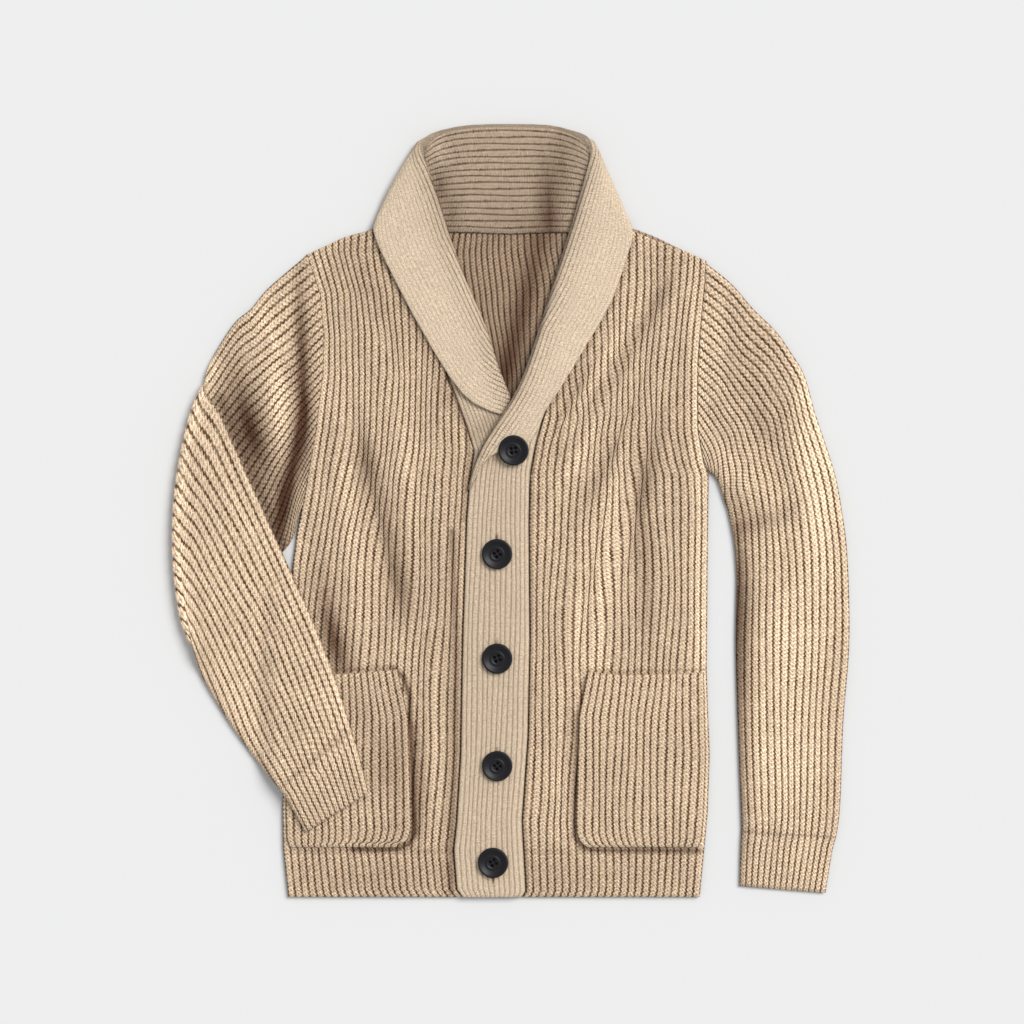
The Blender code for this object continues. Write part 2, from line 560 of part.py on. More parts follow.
def add_collar(material):
    """The shawl collar as one strip. Its visible face has ribs along it wherever that face looks up."""
    stand_at, stand_crest = rib_fractions(STAND_RIBS, 0.02)
    fall_at, fall_crest = rib_fractions(FALL_RIBS, 0.02)
    middle = collar_grid(stand_at, fall_at)
    normal = surface_normals(middle)
    crest = np.concatenate([stand_crest, np.zeros(ROLL_STEPS), fall_crest])
    width = np.linalg.norm(middle[:, -1] - middle[:, 0], axis=1)
    raised = FINE_RISE * crest[None] * smooth(normal[:, :, 2] * 1.6)
    rim = np.ones(middle.shape[:2])
    rim[:, [0, -1]] = 0.55
    outer = middle + normal * (COLLAR_WALL / 2.0 * rim + raised * smooth(width / 20.0)[:, None])[:, :, None]
    plain = np.concatenate([
        np.arange(0, len(stand_at) - 1, 6), [len(stand_at) - 1],
        len(stand_at) + np.arange(ROLL_STEPS),
        len(stand_at) + ROLL_STEPS + np.arange(0, len(fall_at) - 1, 6), [middle.shape[1] - 1],
    ])
    inner = (middle - normal * COLLAR_WALL / 2.0)[:, plain]
    outer_at = np.linspace(0.0, 1.0, middle.shape[1])
    return add_wall("collar", outer, inner, outer_at, outer_at[plain], material)


# ---------------------------------------------------------------- buttons

BUTTONS = ((1.5, 61.0), (-15.0, -42.5), (-14.8, -147.0), (-14.8, -254.3), (-19.0, -351.0))
BUTTON_RADIUS = 15.2
BUTTON_SIDES = 22
# radius and height of the turned profile, from the middle of the face to the middle of the back
BUTTON_PROFILE = (
    (0.0, 2.5), (6.0, 2.5), (11.0, 3.2), (13.2, 4.2), (14.6, 4.0), (15.2, 2.7), (14.4, 1.0), (11.0, 0.0),
    (0.0, 0.0),
)


def add_button(name, place, material):
    """A dished button with a raised rim, turned about its own upright axis."""
    x, y = place
    base = BAND_CREST + SEAM + float(swell(np.array(x), np.array(y)))
    angle = np.linspace(0.0, 2.0 * np.pi, BUTTON_SIDES, endpoint=False)
    radii = np.array(BUTTON_PROFILE)[1:-1]
    rings = np.stack([
        x + radii[:, :1] * np.cos(angle)[None],
        y + radii[:, :1] * np.sin(angle)[None],
        base + np.repeat(radii[:, 1:], BUTTON_SIDES, axis=1),
    ], axis=-1)
    ends = np.array([[x, y, base + BUTTON_PROFILE[0][1]], [x, y, base]])
    index = np.arange(rings.shape[0] * BUTTON_SIDES).reshape(-1, BUTTON_SIDES)
    index = np.concatenate([index, index[:, :1]], axis=1)
    face_middle = rings.shape[0] * BUTTON_SIDES
    faces = grid_faces(index)
    faces += [(face_middle, index[0, i + 1], index[0, i]) for i in range(BUTTON_SIDES)]
    faces += [(face_middle + 1, index[-1, i], index[-1, i + 1]) for i in range(BUTTON_SIDES)]
    faces = [tuple(int(corner) for corner in face) for face in faces]
    obj = add_object(name, np.concatenate([rings.reshape(-1, 3), ends]), faces, material)
    obj.data.shade_smooth()
    return obj


# ---------------------------------------------------------------- the garment

def main():
    for old in list(bpy.data.objects):
        bpy.data.objects.remove(old, do_unlink=True)

    body = knit("body_knit", (0.50, 0.38, 0.27))
    trim = knit("band_knit", (0.58, 0.46, 0.34))
    black = horn("button_black")

    add_back(body)
    for name, left, right, top in (
        ("front_left", BAND_RIGHT_EDGE, SIDE_LEFT, TOP_FRONT_LEFT),
        ("front_right", SIDE_RIGHT, moved(BAND_LEFT_EDGE, -BAND_GAP), TOP_FRONT_RIGHT),
    ):
        add_panel(name, left, right, top, FRONT_LEVEL, FRONT_RIBS, RIB_RISE, PANEL_ROWS, body)
    for name, right, top, level, ribs, sheet_swell in (
        ("button_band", moved(BAND_RIGHT_EDGE, -12.0), TOP_BUTTON_BAND, FRONT_LEVEL, 10, flat),
        ("buttonhole_band", moved(BAND_RIGHT_EDGE, -BAND_GAP), TOP_BUTTONHOLE_BAND, BAND_LEVEL, 13, band_sag),
    ):
        add_panel(name, BAND_LEFT_EDGE, right, top, level, ribs, FINE_RISE, BAND_ROWS, trim, sheet_swell)
    add_pocket("pocket_left", POCKET_LEFT_SIDES, POCKET_LEFT_TOP, body)
    add_pocket("pocket_right", POCKET_RIGHT_SIDES, POCKET_RIGHT_TOP, body)
    add_sleeve("sleeve_left", straight_frames, SLEEVE_RIBS, 3, body)
    add_sleeve("sleeve_right", folded_frames, SLEEVE_RIBS, 2, body)
    add_collar(trim)
    for number, place in enumerate(BUTTONS, 1):
        add_button(f"button_{number}", place, black)


main()
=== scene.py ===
# %% [markdown]
# # A shawl collar cardigan, laid flat
#
# This file dresses a rib-knit cardigan that lies on a table, seen from straight above. The plain solids
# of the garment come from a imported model, and stand where every piece belongs. Each cell below makes one
# piece of knitting as a surface worked out with numpy, or one finish as shader nodes. All sizes are in
# millimetres, and MM turns them into Blender's metres.

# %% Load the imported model
from functools import partial

import bmesh
import bpy
import numpy as np
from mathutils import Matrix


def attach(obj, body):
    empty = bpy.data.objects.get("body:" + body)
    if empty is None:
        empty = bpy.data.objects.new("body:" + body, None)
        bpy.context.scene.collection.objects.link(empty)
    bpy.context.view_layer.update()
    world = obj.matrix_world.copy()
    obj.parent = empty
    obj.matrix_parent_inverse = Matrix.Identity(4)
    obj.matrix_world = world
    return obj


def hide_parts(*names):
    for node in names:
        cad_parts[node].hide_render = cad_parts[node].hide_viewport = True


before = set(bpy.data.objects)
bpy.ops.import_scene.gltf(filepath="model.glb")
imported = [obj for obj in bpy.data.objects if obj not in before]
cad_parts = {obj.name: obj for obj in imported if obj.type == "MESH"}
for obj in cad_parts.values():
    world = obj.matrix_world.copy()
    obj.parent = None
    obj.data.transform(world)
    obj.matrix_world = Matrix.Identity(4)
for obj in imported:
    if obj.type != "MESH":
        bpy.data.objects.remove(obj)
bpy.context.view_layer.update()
MM = 0.001
print("nodes:", sorted(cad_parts))

# %% [markdown]
# ## Camera
#
# A catalogue picture of folded knitwear is taken from straight above. The camera hangs over the garment
# with a long lens, so that nothing leans outwards, and one millimetre of cloth fills one pixel.

# %% The camera above the garment
LENS = 100.0
SENSOR = 36.0
VIEW_WIDTH = 1024.0   # what the picture shows at the height of the cloth
CLOTH_TOP = 8.0
VIEW_MIDDLE_Y = -0.5

camera_data = bpy.data.cameras.new("camera")
camera_data.lens = LENS
camera_data.sensor_width = SENSOR
camera = bpy.data.objects.new("camera", camera_data)
camera_height = CLOTH_TOP + VIEW_WIDTH * LENS / SENSOR
camera.location = (0.0, VIEW_MIDDLE_Y * MM, camera_height * MM)
bpy.context.scene.collection.objects.link(camera)
bpy.context.scene.camera = camera
print("camera height in mm:", round(camera_height))

# %% [markdown]
# ## Floor and light
#
# The table is a plain pale sheet. A studio would light it with a large soft box to one side and white
# walls all round: the soft box gives each rib a bright and a dark flank, and the walls keep the grooves
# from going black. A wide sun lamp stands for the soft box, because it lights the whole table evenly,
# and a pale world stands for the walls.

# %% A pale floor
FLOOR_HALF = 12000.0
FLOOR_LEVEL = -0.2
FLOOR_FINISH = {"Base Color": (0.62, 0.62, 0.62, 1.0), "Roughness": 0.9, "Specular IOR Level": 0.1}


def link(obj):
    """Puts an object into the scene, and gives it back."""
    bpy.context.scene.collection.objects.link(obj)
    return obj


def new_material(name, finish):
    """A material whose Principled BSDF has the inputs that a table names. Its node tree and its shader
    are given back beside it."""
    material = bpy.data.materials.new(name)
    material.use_nodes = True
    shader = material.node_tree.nodes["Principled BSDF"]
    for label, value in finish.items():
        shader.inputs[label].default_value = value
    return material, material.node_tree, shader


floor_mesh = bpy.data.meshes.new("floor")
corners = np.array([[-1, -1, 0], [1, -1, 0], [1, 1, 0], [-1, 1, 0]]) * FLOOR_HALF * MM
floor_mesh.from_pydata((corners + [0.0, 0.0, FLOOR_LEVEL * MM]).tolist(), [], [(0, 1, 2, 3)])
floor_mesh.materials.append(new_material("floor_paint", FLOOR_FINISH)[0])
floor = link(bpy.data.objects.new("floor", floor_mesh))
print("floor half width in mm:", FLOOR_HALF)

# %% A soft box and a bright room
ROOM_STRENGTH = 0.64
KEY_STRENGTH = 3.2
KEY_SPREAD = 32.0      # degrees across, as seen from the garment
KEY_BEARING = 40.0     # degrees from +X towards +Y
KEY_ELEVATION = 48.0

key_data = bpy.data.lights.new("soft_box", "SUN")
key_data.energy = KEY_STRENGTH
key_data.angle = np.radians(KEY_SPREAD)
key_data.color = (1.0, 0.995, 0.98)
key = link(bpy.data.objects.new("soft_box", key_data))
key.rotation_euler = (0.0, np.radians(90.0 - KEY_ELEVATION), np.radians(KEY_BEARING))

room = bpy.data.worlds.new("room")
room.use_nodes = True
room.node_tree.nodes["Background"].inputs["Color"].default_value = (0.97, 0.985, 1.0, 1.0)
room.node_tree.nodes["Background"].inputs["Strength"].default_value = ROOM_STRENGTH
bpy.context.scene.world = room
bpy.context.scene.view_settings.view_transform = "Standard"
print("soft box", KEY_ELEVATION, "degrees above the table")

# %% [markdown]
# ## Knit stitches as a node group
#
# Every rib of this cardigan is a chain of V-shaped stitches: two yarns lean towards the middle of the
# rib, meet there, and leave a small dark hole. Modelling each stitch would take millions of faces, so
# the ribs are real geometry and the stitches are drawn by nodes: as a bump, and as painted shade in the
# holes, in the grooves and where two yarns meet. The UV map of every knitted piece counts ribs along U
# and stitches along V, so that one pattern suits a wide rib and a fine one.

# %% Helpers that make shader nodes
def add_node(tree, kind, inputs, **settings):
    """A shader node, which gives its outputs. Settings are its own properties. Each of its inputs, by name
    or number, is linked if a socket is given for it, and set if a value is."""
    node = tree.nodes.new("ShaderNode" + kind)
    for label, value in settings.items():
        setattr(node, label, value)
    for place, value in inputs.items():
        if isinstance(value, bpy.types.NodeSocket):
            tree.links.new(value, node.inputs[place])
        else:
            node.inputs[place].default_value = value
    return node.outputs


def add_math(tree, operation, *values):
    """A Math node on sockets or numbers."""
    return add_node(tree, "Math", dict(enumerate(values)), operation=operation)[0]


def add_step(tree, value, low, high):
    """0 where the value is under low, 1 where it is over high, and a soft step between them."""
    inputs = {"Value": value, "From Min": low, "From Max": high}
    return add_node(tree, "MapRange", inputs, interpolation_type="SMOOTHSTEP")["Result"]


def add_noise(tree, vector, scale, detail=2.0, roughness=0.5):
    """The grey value of a Noise Texture on a vector."""
    inputs = {"Vector": vector, "Scale": scale, "Detail": detail, "Roughness": roughness}
    return add_node(tree, "TexNoise", inputs)["Fac"]


MIX_SHARE, MIX_FIRST, MIX_SECOND, MIX_RESULT = 0, 6, 7, 2   # the sockets that a Mix node of colours uses


def add_mix(tree, share, first, second):
    """A colour mixed from two, each a socket or four numbers. A share above 1 goes beyond the second."""
    inputs = {MIX_SHARE: share, MIX_FIRST: first, MIX_SECOND: second}
    return add_node(tree, "Mix", inputs, data_type="RGBA", clamp_factor=False)[MIX_RESULT]


def add_times(tree, vector, factor):
    """A vector or colour multiplied by three numbers, or scaled by one socket."""
    if isinstance(factor, bpy.types.NodeSocket):
        return add_node(tree, "VectorMath", {0: vector, "Scale": factor}, operation="SCALE")[0]
    return add_node(tree, "VectorMath", {0: vector, 1: factor}, operation="MULTIPLY")[0]


def new_group(name, inputs, outputs):
    """An empty node group: inputs and outputs are rows of a name, a socket type and a default."""
    group = bpy.data.node_groups.new(name, "ShaderNodeTree")
    for label, kind, default in inputs:
        socket = group.interface.new_socket(label, in_out="INPUT", socket_type=kind)
        if default is not None:
            socket.default_value = default
    for label, kind in outputs:
        group.interface.new_socket(label, in_out="OUTPUT", socket_type=kind)
    return group, group.nodes.new("NodeGroupInput").outputs, group.nodes.new("NodeGroupOutput").inputs


# %% The stitch group
STITCH_SIZES = {
    "Groove": 0.78, "Stitch Depth": 0.5, "Hole": 0.5, "Waver": 0.06, "Slope": 0.5, "Ragged": 0.5,
    "Depth": 1.0,
}
FLECK_STRETCH = (1.0, 0.55, 1.0)   # flecks of yarn run across the ribs


def build_stitches():
    """Stitches from a UV map in ribs and stitches.

    across is 0 in the middle of a rib and 1 in the groove beside it. Two yarns make a V, so the place
    along the rib is moved by slope times across before its fraction is taken. Where that fraction is
    near a whole number, two yarns meet in a thin shadow. The whole rib swings sideways once a stitch."""
    group, given, made = new_group(
        "knit_stitches",
        [("Rib UV", "NodeSocketVector", None)]
        + [(label, "NodeSocketFloat", size) for label, size in STITCH_SIZES.items()],
        [(label, "NodeSocketFloat") for label in ("Height", "Light", "Yarn")],
    )
    rib_uv = given["Rib UV"]

    def calc(operation, *values):
        """A Math node of this group."""
        return add_math(group, operation, *values)

    def mirrored(value):
        """1 where the value is a whole number, and 0 half way between two of them."""
        return calc("ABSOLUTE", calc("MULTIPLY_ADD", calc("FRACT", value), 2.0, -1.0))

    along_u, along_v, _ = add_node(group, "SeparateXYZ", {0: rib_uv})
    stitches = calc("MULTIPLY_ADD", add_noise(group, rib_uv, 0.9, 1.0), 0.9, along_v)
    swing = calc("SINE", calc("MULTIPLY", stitches, 2.0 * np.pi))
    across = mirrored(calc("MULTIPLY_ADD", swing, given["Waver"], along_u))
    meeting = mirrored(calc("MULTIPLY_ADD", across, given["Slope"], stitches))
    shadow = calc("MULTIPLY", add_step(group, meeting, 0.45, 1.0), given["Stitch Depth"])
    near_middle = calc("SUBTRACT", 1.0, add_step(group, across, 0.06, 0.32))
    hole = calc("MULTIPLY", near_middle, add_step(group, mirrored(stitches), 0.35, 0.85))
    dark = calc("MAXIMUM", shadow, calc("MULTIPLY", hole, given["Hole"]))
    ragged = calc("MULTIPLY_ADD", add_noise(group, rib_uv, 2.3, 2.0, 0.7), given["Ragged"], across)
    groove = add_step(group, calc("SUBTRACT", ragged, given["Groove"]), 0.10, 0.36)
    uneven = add_step(group, add_noise(group, rib_uv, 0.35, 2.0), 0.25, 0.6)
    groove = calc("MULTIPLY", groove, calc("MULTIPLY_ADD", uneven, 0.35, 0.65))
    # dark and groove are painted shade: of the V where two yarns meet, of the hole, and of the groove
    # between ribs. Light, what they leave, darkens the wool's colour and is also the height of its bump.
    lit = [calc("SUBTRACT", 1.0, calc("MULTIPLY", part, given["Depth"])) for part in (dark, groove)]
    light = calc("MULTIPLY", *lit)
    group.links.new(light, made["Light"])
    group.links.new(light, made["Height"])
    group.links.new(add_noise(group, add_times(group, rib_uv, FLECK_STRETCH), 2.4, 3.0, 0.7), made["Yarn"])
    return group


stitches_group = build_stitches()
print("knit_stitches has", len(stitches_group.nodes), "nodes")

# %% [markdown]
# ## Heathered wool
#
# The yarn is spun from cream and sand fibres, so no two stitches have quite the same colour. Its loose
# fibres catch light at a glancing angle, which is what the sheen of the Principled BSDF is for. The
# grooves, the holes and the places where two yarns meet are painted a deep brown, as painted shade.
# The two wool materials share the stitch group and differ in the size of their ribs and in tone.

# %% Wool materials
BUMP_STEP = 1.05                   # height of a stitch in millimetres
# the colour towards which painted shade darkens the wool
PAINTED_SHADE_TINT = (0.09, 0.025, 0.0)     # what is left of each colour where the shade is 0
WOOL_FINISH = {
    "Roughness": 0.92, "Specular IOR Level": 0.12, "Sheen Weight": 0.06, "Sheen Roughness": 0.5,
    "Sheen Tint": (1.0, 0.94, 0.85, 1.0),
}


def read_kept(tree, label):
    """The value that a mesh keeps at its points under this label."""
    return add_node(tree, "Attribute", {}, attribute_name=label)["Fac"]


def wool(name, light, dark, fleck, sizes, patchy, grain):
    """Wool whose colour runs from dark, a painted shade, in the grooves, holes and V's of the stitches, to
    light on the yarns, with flecks of a third one. Patchy and grain are how much darker broad patches and
    single fibres get."""
    material, tree, shader = new_material(name, WOOL_FINISH)
    rib_uv = add_node(tree, "UVMap", {}, uv_map="ribs")["UV"]
    inputs = {"Rib UV": rib_uv, "Depth": read_kept(tree, "depth"), **dict(zip(STITCH_SIZES, sizes))}
    stitches = add_node(tree, "Group", inputs, node_tree=stitches_group)
    colour = add_mix(tree, stitches["Light"], (*dark, 1.0), (*light, 1.0))
    flecks = add_math(tree, "MULTIPLY", add_step(tree, stitches["Yarn"], 0.45, 0.68), 0.5)
    colour = add_mix(tree, flecks, colour, (*fleck, 1.0))
    # painted shade that each point keeps darkens the colour towards its tint, and painted light, a shade
    # above 1, lightens it
    colour = add_mix(tree, read_kept(tree, "shade"), add_times(tree, colour, PAINTED_SHADE_TINT), colour)
    place = add_node(tree, "TexCoord", {})["Object"]
    broad = add_step(tree, add_noise(tree, place, 14.0, 3.0, 0.6), 0.3, 0.7)
    fuzz = add_step(tree, add_noise(tree, place, 620.0, 3.0, 0.75), 0.3, 0.7)
    patches = add_math(tree, "MULTIPLY_ADD", broad, patchy, 1.0 - patchy)
    fibres = add_math(tree, "MULTIPLY_ADD", fuzz, grain, 1.0 - 0.5 * grain)
    colour = add_times(tree, colour, add_math(tree, "MULTIPLY", patches, fibres))
    tree.links.new(colour, shader.inputs["Base Color"])
    height = add_math(tree, "MULTIPLY_ADD", fuzz, 0.5, stitches["Height"])
    inputs = {"Strength": 0.8, "Distance": BUMP_STEP * MM, "Height": height}
    tree.links.new(add_node(tree, "Bump", inputs)["Normal"], shader.inputs["Normal"])
    return material


body_wool = wool(
    "body_wool", (0.77, 0.595, 0.417), (0.078, 0.034, 0.011), (0.51, 0.30, 0.178),
    (0.76, 0.44, 0.62, 0.075, 0.8, 0.5), 0.12, 0.68)
band_wool = wool(
    "band_wool", (0.68, 0.548, 0.405), (0.095, 0.045, 0.018), (0.60, 0.42, 0.28),
    (0.99, 0.34, 0.50, 0.09, 0.5, 0.95), 0.05, 0.50)
print("wool materials:", body_wool.name, band_wool.name)

# %% [markdown]
# ## The cut of the garment
#
# The outline is measured once and kept in short tables. Everything that lies along an edge reads the
# same table, so that a front, its band and its pocket always agree.

# %% Levels and edges
WALL = 2.2            # thickness of a layer of knitting, without its ribs
RIB_RISE = 1.2        # height of the ribs of the body
FINE_RISE = 0.6       # height of the ribs of the bands and the collar
SEAM = 0.3            # air between two layers
BAND_GAP = 0.5
FRONT_LEVEL = WALL + SEAM
FRONT_CREST = FRONT_LEVEL + WALL + RIB_RISE
BAND_LEVEL = FRONT_LEVEL + WALL + FINE_RISE + SEAM
BAND_CREST = BAND_LEVEL + WALL + FINE_RISE
POCKET_LEVEL = FRONT_CREST + SEAM
HEM = -386.0
HEM_RIB = -340.0
SHOULDER_LEFT = ((66, 303), (120, 282), (193, 251))
SHOULDER_RIGHT = ((-208, 256), (-169, 273), (-139, 282), (-73, 303))

# y and x of each upright edge, from the hem up
SIDE_LEFT = (
    (-386, 188), (-335, 193), (-301, 196), (-244, 198), (-161, 195), (-49, 196), (36, 197), (48, 193),
    (81, 187), (107, 186.5), (148, 187), (177, 189), (230, 194), (260, 195),
)
SIDE_RIGHT = (
    (-386, -224), (-339, -229), (-297, -230), (-150, -226), (-53, -219.5), (-22, -215.5), (-7, -212.5),
    (20, -207.5), (42, -204), (81, -197), (138, -190), (176, -189), (218, -193), (260, -207),
)
BAND_LEFT_EDGE = (
    (-390, -46), (-378, -55), (-339, -58), (-311, -55), (-244, -51), (-129, -49), (-9, -45), (31, -42),
    (60, -38), (300, -38),
)
BAND_RIGHT_EDGE = (
    (-390, 8), (-380, 14), (-311, 10), (-225, 16), (-129, 18), (-12, 17), (38, 18), (69, 24), (94, 31),
    (300, 31),
)

# x and y of each top edge, from the wearer's right to left
NECK_BACK = ((-64, 284), (-50, 279), (-3, 276.5), (44, 279), (58, 284))
TOP_FRONT_LEFT = (
    (18.2, 36), (25.2, 69), (32.2, 94), (42, 133), (52, 171), (61, 217), (68, 265), (71, 301),
) + SHOULDER_LEFT[1:]
TOP_FRONT_RIGHT = SHOULDER_RIGHT[:3] + (
    (-74, 302), (-72, 265), (-70, 217), (-67, 171), (-63, 133), (-55, 111), (-46, 86), (-38, 60),
)
TOP_BUTTONHOLE_BAND = ((-44, 26), (-36, 43), (-26, 58), (-14, 70), (0, 80), (16, 90), (31, 99))
TOP_BUTTON_BAND = ((-63, 140), (-50, 129), (-36, 113), (-20, 103), (-7, 97), (8, 90))
print("levels in mm: front", FRONT_LEVEL, "band", BAND_LEVEL, "pocket", POCKET_LEVEL)

# %% [markdown]
# ## How a piece of knitting is made here
#
# A knitted panel is a thin wall. Its outer face carries the ribs, so it needs many columns of points,
# while its inner face is hidden and needs few. The two faces are grids that share some of their points'
# places, and long polygons close the rim between them. That gives a closed shell without wasted faces.

# %% A soft step, and a curve read from a table
def smooth(value):
    """0 below 0, 1 above 1 and a soft step between them."""
    value = np.clip(value, 0.0, 1.0)
    return value * value * (3.0 - 2.0 * value)


def curve(table, at):
    """Second column of a two-column table at each value of the first, which rises down the table."""
    known = np.array(table)
    return np.interp(at, known[:, 0], known[:, 1])


def rounded(distance, radius):
    """Height of a rounded edge as a share of the full height: a quarter circle of this radius."""
    near = np.clip(1.0 - distance / radius, 0.0, 1.0)
    return np.sqrt(1.0 - near * near)


# %% The profile of a rib
RIB_STEPS = np.array([0.0, 0.07, 0.17, 0.33, 0.5, 0.67, 0.83, 0.93])
CREST_POWER = 3.2


def rib_height(ribs):
    """Height across the ribs, from 0 in each groove to 1: one less a power of the place across, which
    leaves a broad round crest and a narrow groove."""
    across = np.abs(2.0 * (ribs % 1.0) - 1.0)
    return 1.0 - across ** CREST_POWER


def rib_columns(count, steps=RIB_STEPS):
    """Rib numbers of the columns of points, from 0 to count, with a few columns in each rib."""
    return np.append((np.arange(count)[:, None] + steps[None]).ravel(), count)


# %% From grids to a closed shell
def chosen(count, every):
    """Every so many of a row of points, with the last one."""
    return np.unique(np.append(np.arange(0, count, every), count - 1))


def quads(index):
    """The four-sided faces of a grid of point numbers."""
    corner_grids = (index[:-1, :-1], index[:-1, 1:], index[1:, 1:], index[1:, :-1])
    return np.stack(corner_grids, axis=-1).reshape(-1, 4).tolist()


def rim_faces(fine, rough, kept):
    """Polygons between a row of fine points and the rough points that stand at some of their places."""
    return [
        fine[start:end + 1].tolist() + [int(rough[number + 1]), int(rough[number])]
        for number, (start, end) in enumerate(zip(kept[:-1], kept[1:]))
    ]


def turned(faces):
    """The same faces, seen from their other side."""
    return [face[::-1] for face in faces]


dressed = {}   # every finished piece, by the name of the solid that it stands for


def add_piece(name, points, faces, rib_map, material, shade=1.0, depth=1.0):
    """A mesh object from points in millimetres, with faces turned outwards and a UV map of its ribs.
    Each point also keeps its painted shade, and how deep the grooves beside it look, which sets how
    strong the painted shade of its stitches and their bump are."""
    mesh = bpy.data.meshes.new(name)
    mesh.from_pydata((points * MM).tolist(), [], faces)
    mesh.update()
    mesh.calc_loop_triangles()
    triangles = np.empty(len(mesh.loop_triangles) * 3, np.int32)
    mesh.loop_triangles.foreach_get("vertices", triangles)
    first, second, third = np.moveaxis(points[triangles.reshape(-1, 3)], 1, 0)
    if np.einsum("ij,ij->", first, np.cross(second, third)) < 0.0:
        mesh.flip_normals()
    loop_points = np.empty(len(mesh.loops), np.int32)
    mesh.loops.foreach_get("vertex_index", loop_points)
    layer = mesh.uv_layers.new(name="ribs")
    layer.data.foreach_set("uv", rib_map[loop_points].astype(np.float32).ravel())
    for label, value in (("shade", shade), ("depth", depth)):
        values = np.broadcast_to(value, len(points)).astype(np.float32)
        mesh.attributes.new(label, "FLOAT", "POINT").data.foreach_set("value", values)
    mesh.shade_smooth()
    mesh.materials.append(material)
    print(f"{name}: {len(mesh.loop_triangles)} triangles")
    piece = link(bpy.data.objects.new(name, mesh))
    dressed[name.split("_", 1)[1]] = piece
    return piece


def at_height(x, y, z):
    """Points from grids of their x, y and z, or from one z for all."""
    return np.stack([x, y, z + 0.0 * x], axis=-1)


def add_shell(
        name, outer, inner, ribs, stitches, material, every=(8, 8), shade=1.0, depth=1.0, tube=False):
    """A closed shell: the outer grid of points, the inner grid at a few of its rows and columns, and the
    rim between them. In a tube the last column of each grid meets the first."""
    shape = outer.shape[:2]
    rows = chosen(shape[0], every[0])
    if tube:
        columns = np.linspace(0, shape[1], inner.shape[1] + 1).astype(int)[:-1]
        inner = inner[rows]
    else:
        columns = chosen(shape[1], every[1])
        inner = inner[np.ix_(rows, columns)]
    fine = np.arange(shape[0] * shape[1]).reshape(shape)
    rough = fine.size + np.arange(len(rows) * len(columns)).reshape(len(rows), len(columns))
    ribs, stitches, shade, depth = (
        np.concatenate([grid.ravel(), grid[np.ix_(rows, columns)].ravel()])
        for grid in (np.broadcast_to(value, shape) for value in (ribs, stitches, shade, depth))
    )
    if tube:
        fine, rough = (np.concatenate([grid, grid[:, :1]], axis=1) for grid in (fine, rough))
        columns = np.append(columns, shape[1])
    faces = quads(fine) + turned(quads(rough))
    faces += turned(rim_faces(fine[0], rough[0], columns)) + rim_faces(fine[-1], rough[-1], columns)
    if not tube:
        faces += rim_faces(fine[:, 0], rough[:, 0], rows)
        faces += turned(rim_faces(fine[:, -1], rough[:, -1], rows))
    points = np.concatenate([outer.reshape(-1, 3), inner.reshape(-1, 3)])
    return add_piece(name, points, faces, np.stack([ribs, stitches], axis=-1), material, shade, depth)


# %% [markdown]
# ## Soft folds
#
# Cloth that has been smoothed by hand keeps a few long, low folds. Each is a ridge or a trough in the
# shape of a stretched bell: high in the middle, and fading along its length and across its width. The
# table holds them all, and pockets and the folded sleeve ride up and down on the same folds.

# %% The folds of the fronts
# middle x and y, half length along the fold, half width, angle, height (below 0 for a trough)
FOLDS = (
    (-168, 5, 100, 13, 97, 3.4), (-131, -9, 95, 8, 102.7, -3.4), (-106, 20, 120, 12, 98, 3),
    (-74, -100, 140, 11, 88, 2.4), (-92, -60, 110, 7, 92, -2.2), (-140, 160, 60, 14, 112, 2.4),
    (-60, 20, 60, 9, 104, 1.8), (84, 98, 80, 9, 64, 3.6), (60, 104, 60, 6, 60, -2.6),
    (106, 70, 70, 6, 68, -2), (110, -15, 130, 9, 77, 3.8), (130, 28, 75, 7, 80, -3),
    (152, 25, 100, 13, 88, 3), (86, -35, 110, 7, 79, -2.6), (60, -70, 120, 10, 83, 2.4),
    (120, 165, 50, 8, 58, 2.6), (135, 185, 45, 6, 60, -1.8), (155, 190, 60, 10, 76, 2),
)
LIFT = 1.6            # how far the middle of a front stands above its edges
LIFT_WIDTH = 26.0
BAND_MIDDLE = -18.0
BAND_HALF = 34.0
FADE = 60.0           # over which the folds fade out towards the hem rib and the shoulders
FOLDS_END = 262.0
DEEPEST = -0.25


def fold_height(table, x, y):
    """Sum of the folds of a table at a place: each is exp(-(along / length)^2 - (across / width)^2)."""
    height = np.zeros(np.broadcast(x, y).shape)
    for middle_x, middle_y, length, width, angle, rise in table:
        turn = np.radians(angle)
        along = (x - middle_x) * np.cos(turn) + (y - middle_y) * np.sin(turn)
        across = (y - middle_y) * np.cos(turn) - (x - middle_x) * np.sin(turn)
        height = height + rise * np.exp(-((along / length) ** 2) - (across / width) ** 2)
    return height


def lift(x, y):
    """The cloth between the edges of a front stands a little higher than the edges do."""
    from_side = np.minimum(curve(SIDE_LEFT, y) - x, x - curve(SIDE_RIGHT, y))
    from_band = np.abs(x - BAND_MIDDLE) - BAND_HALF
    return LIFT * smooth(from_side / LIFT_WIDTH) * smooth(from_band / LIFT_WIDTH)


def swell(x, y):
    """Height of the fronts over a flat sheet, faded out at the hem and the shoulders, hardly below 0."""
    height = fold_height(FOLDS, x, y) + lift(x, y)
    return np.maximum(height * smooth((y - HEM_RIB) / FADE) * smooth((FOLDS_END - y) / FADE), DEEPEST)
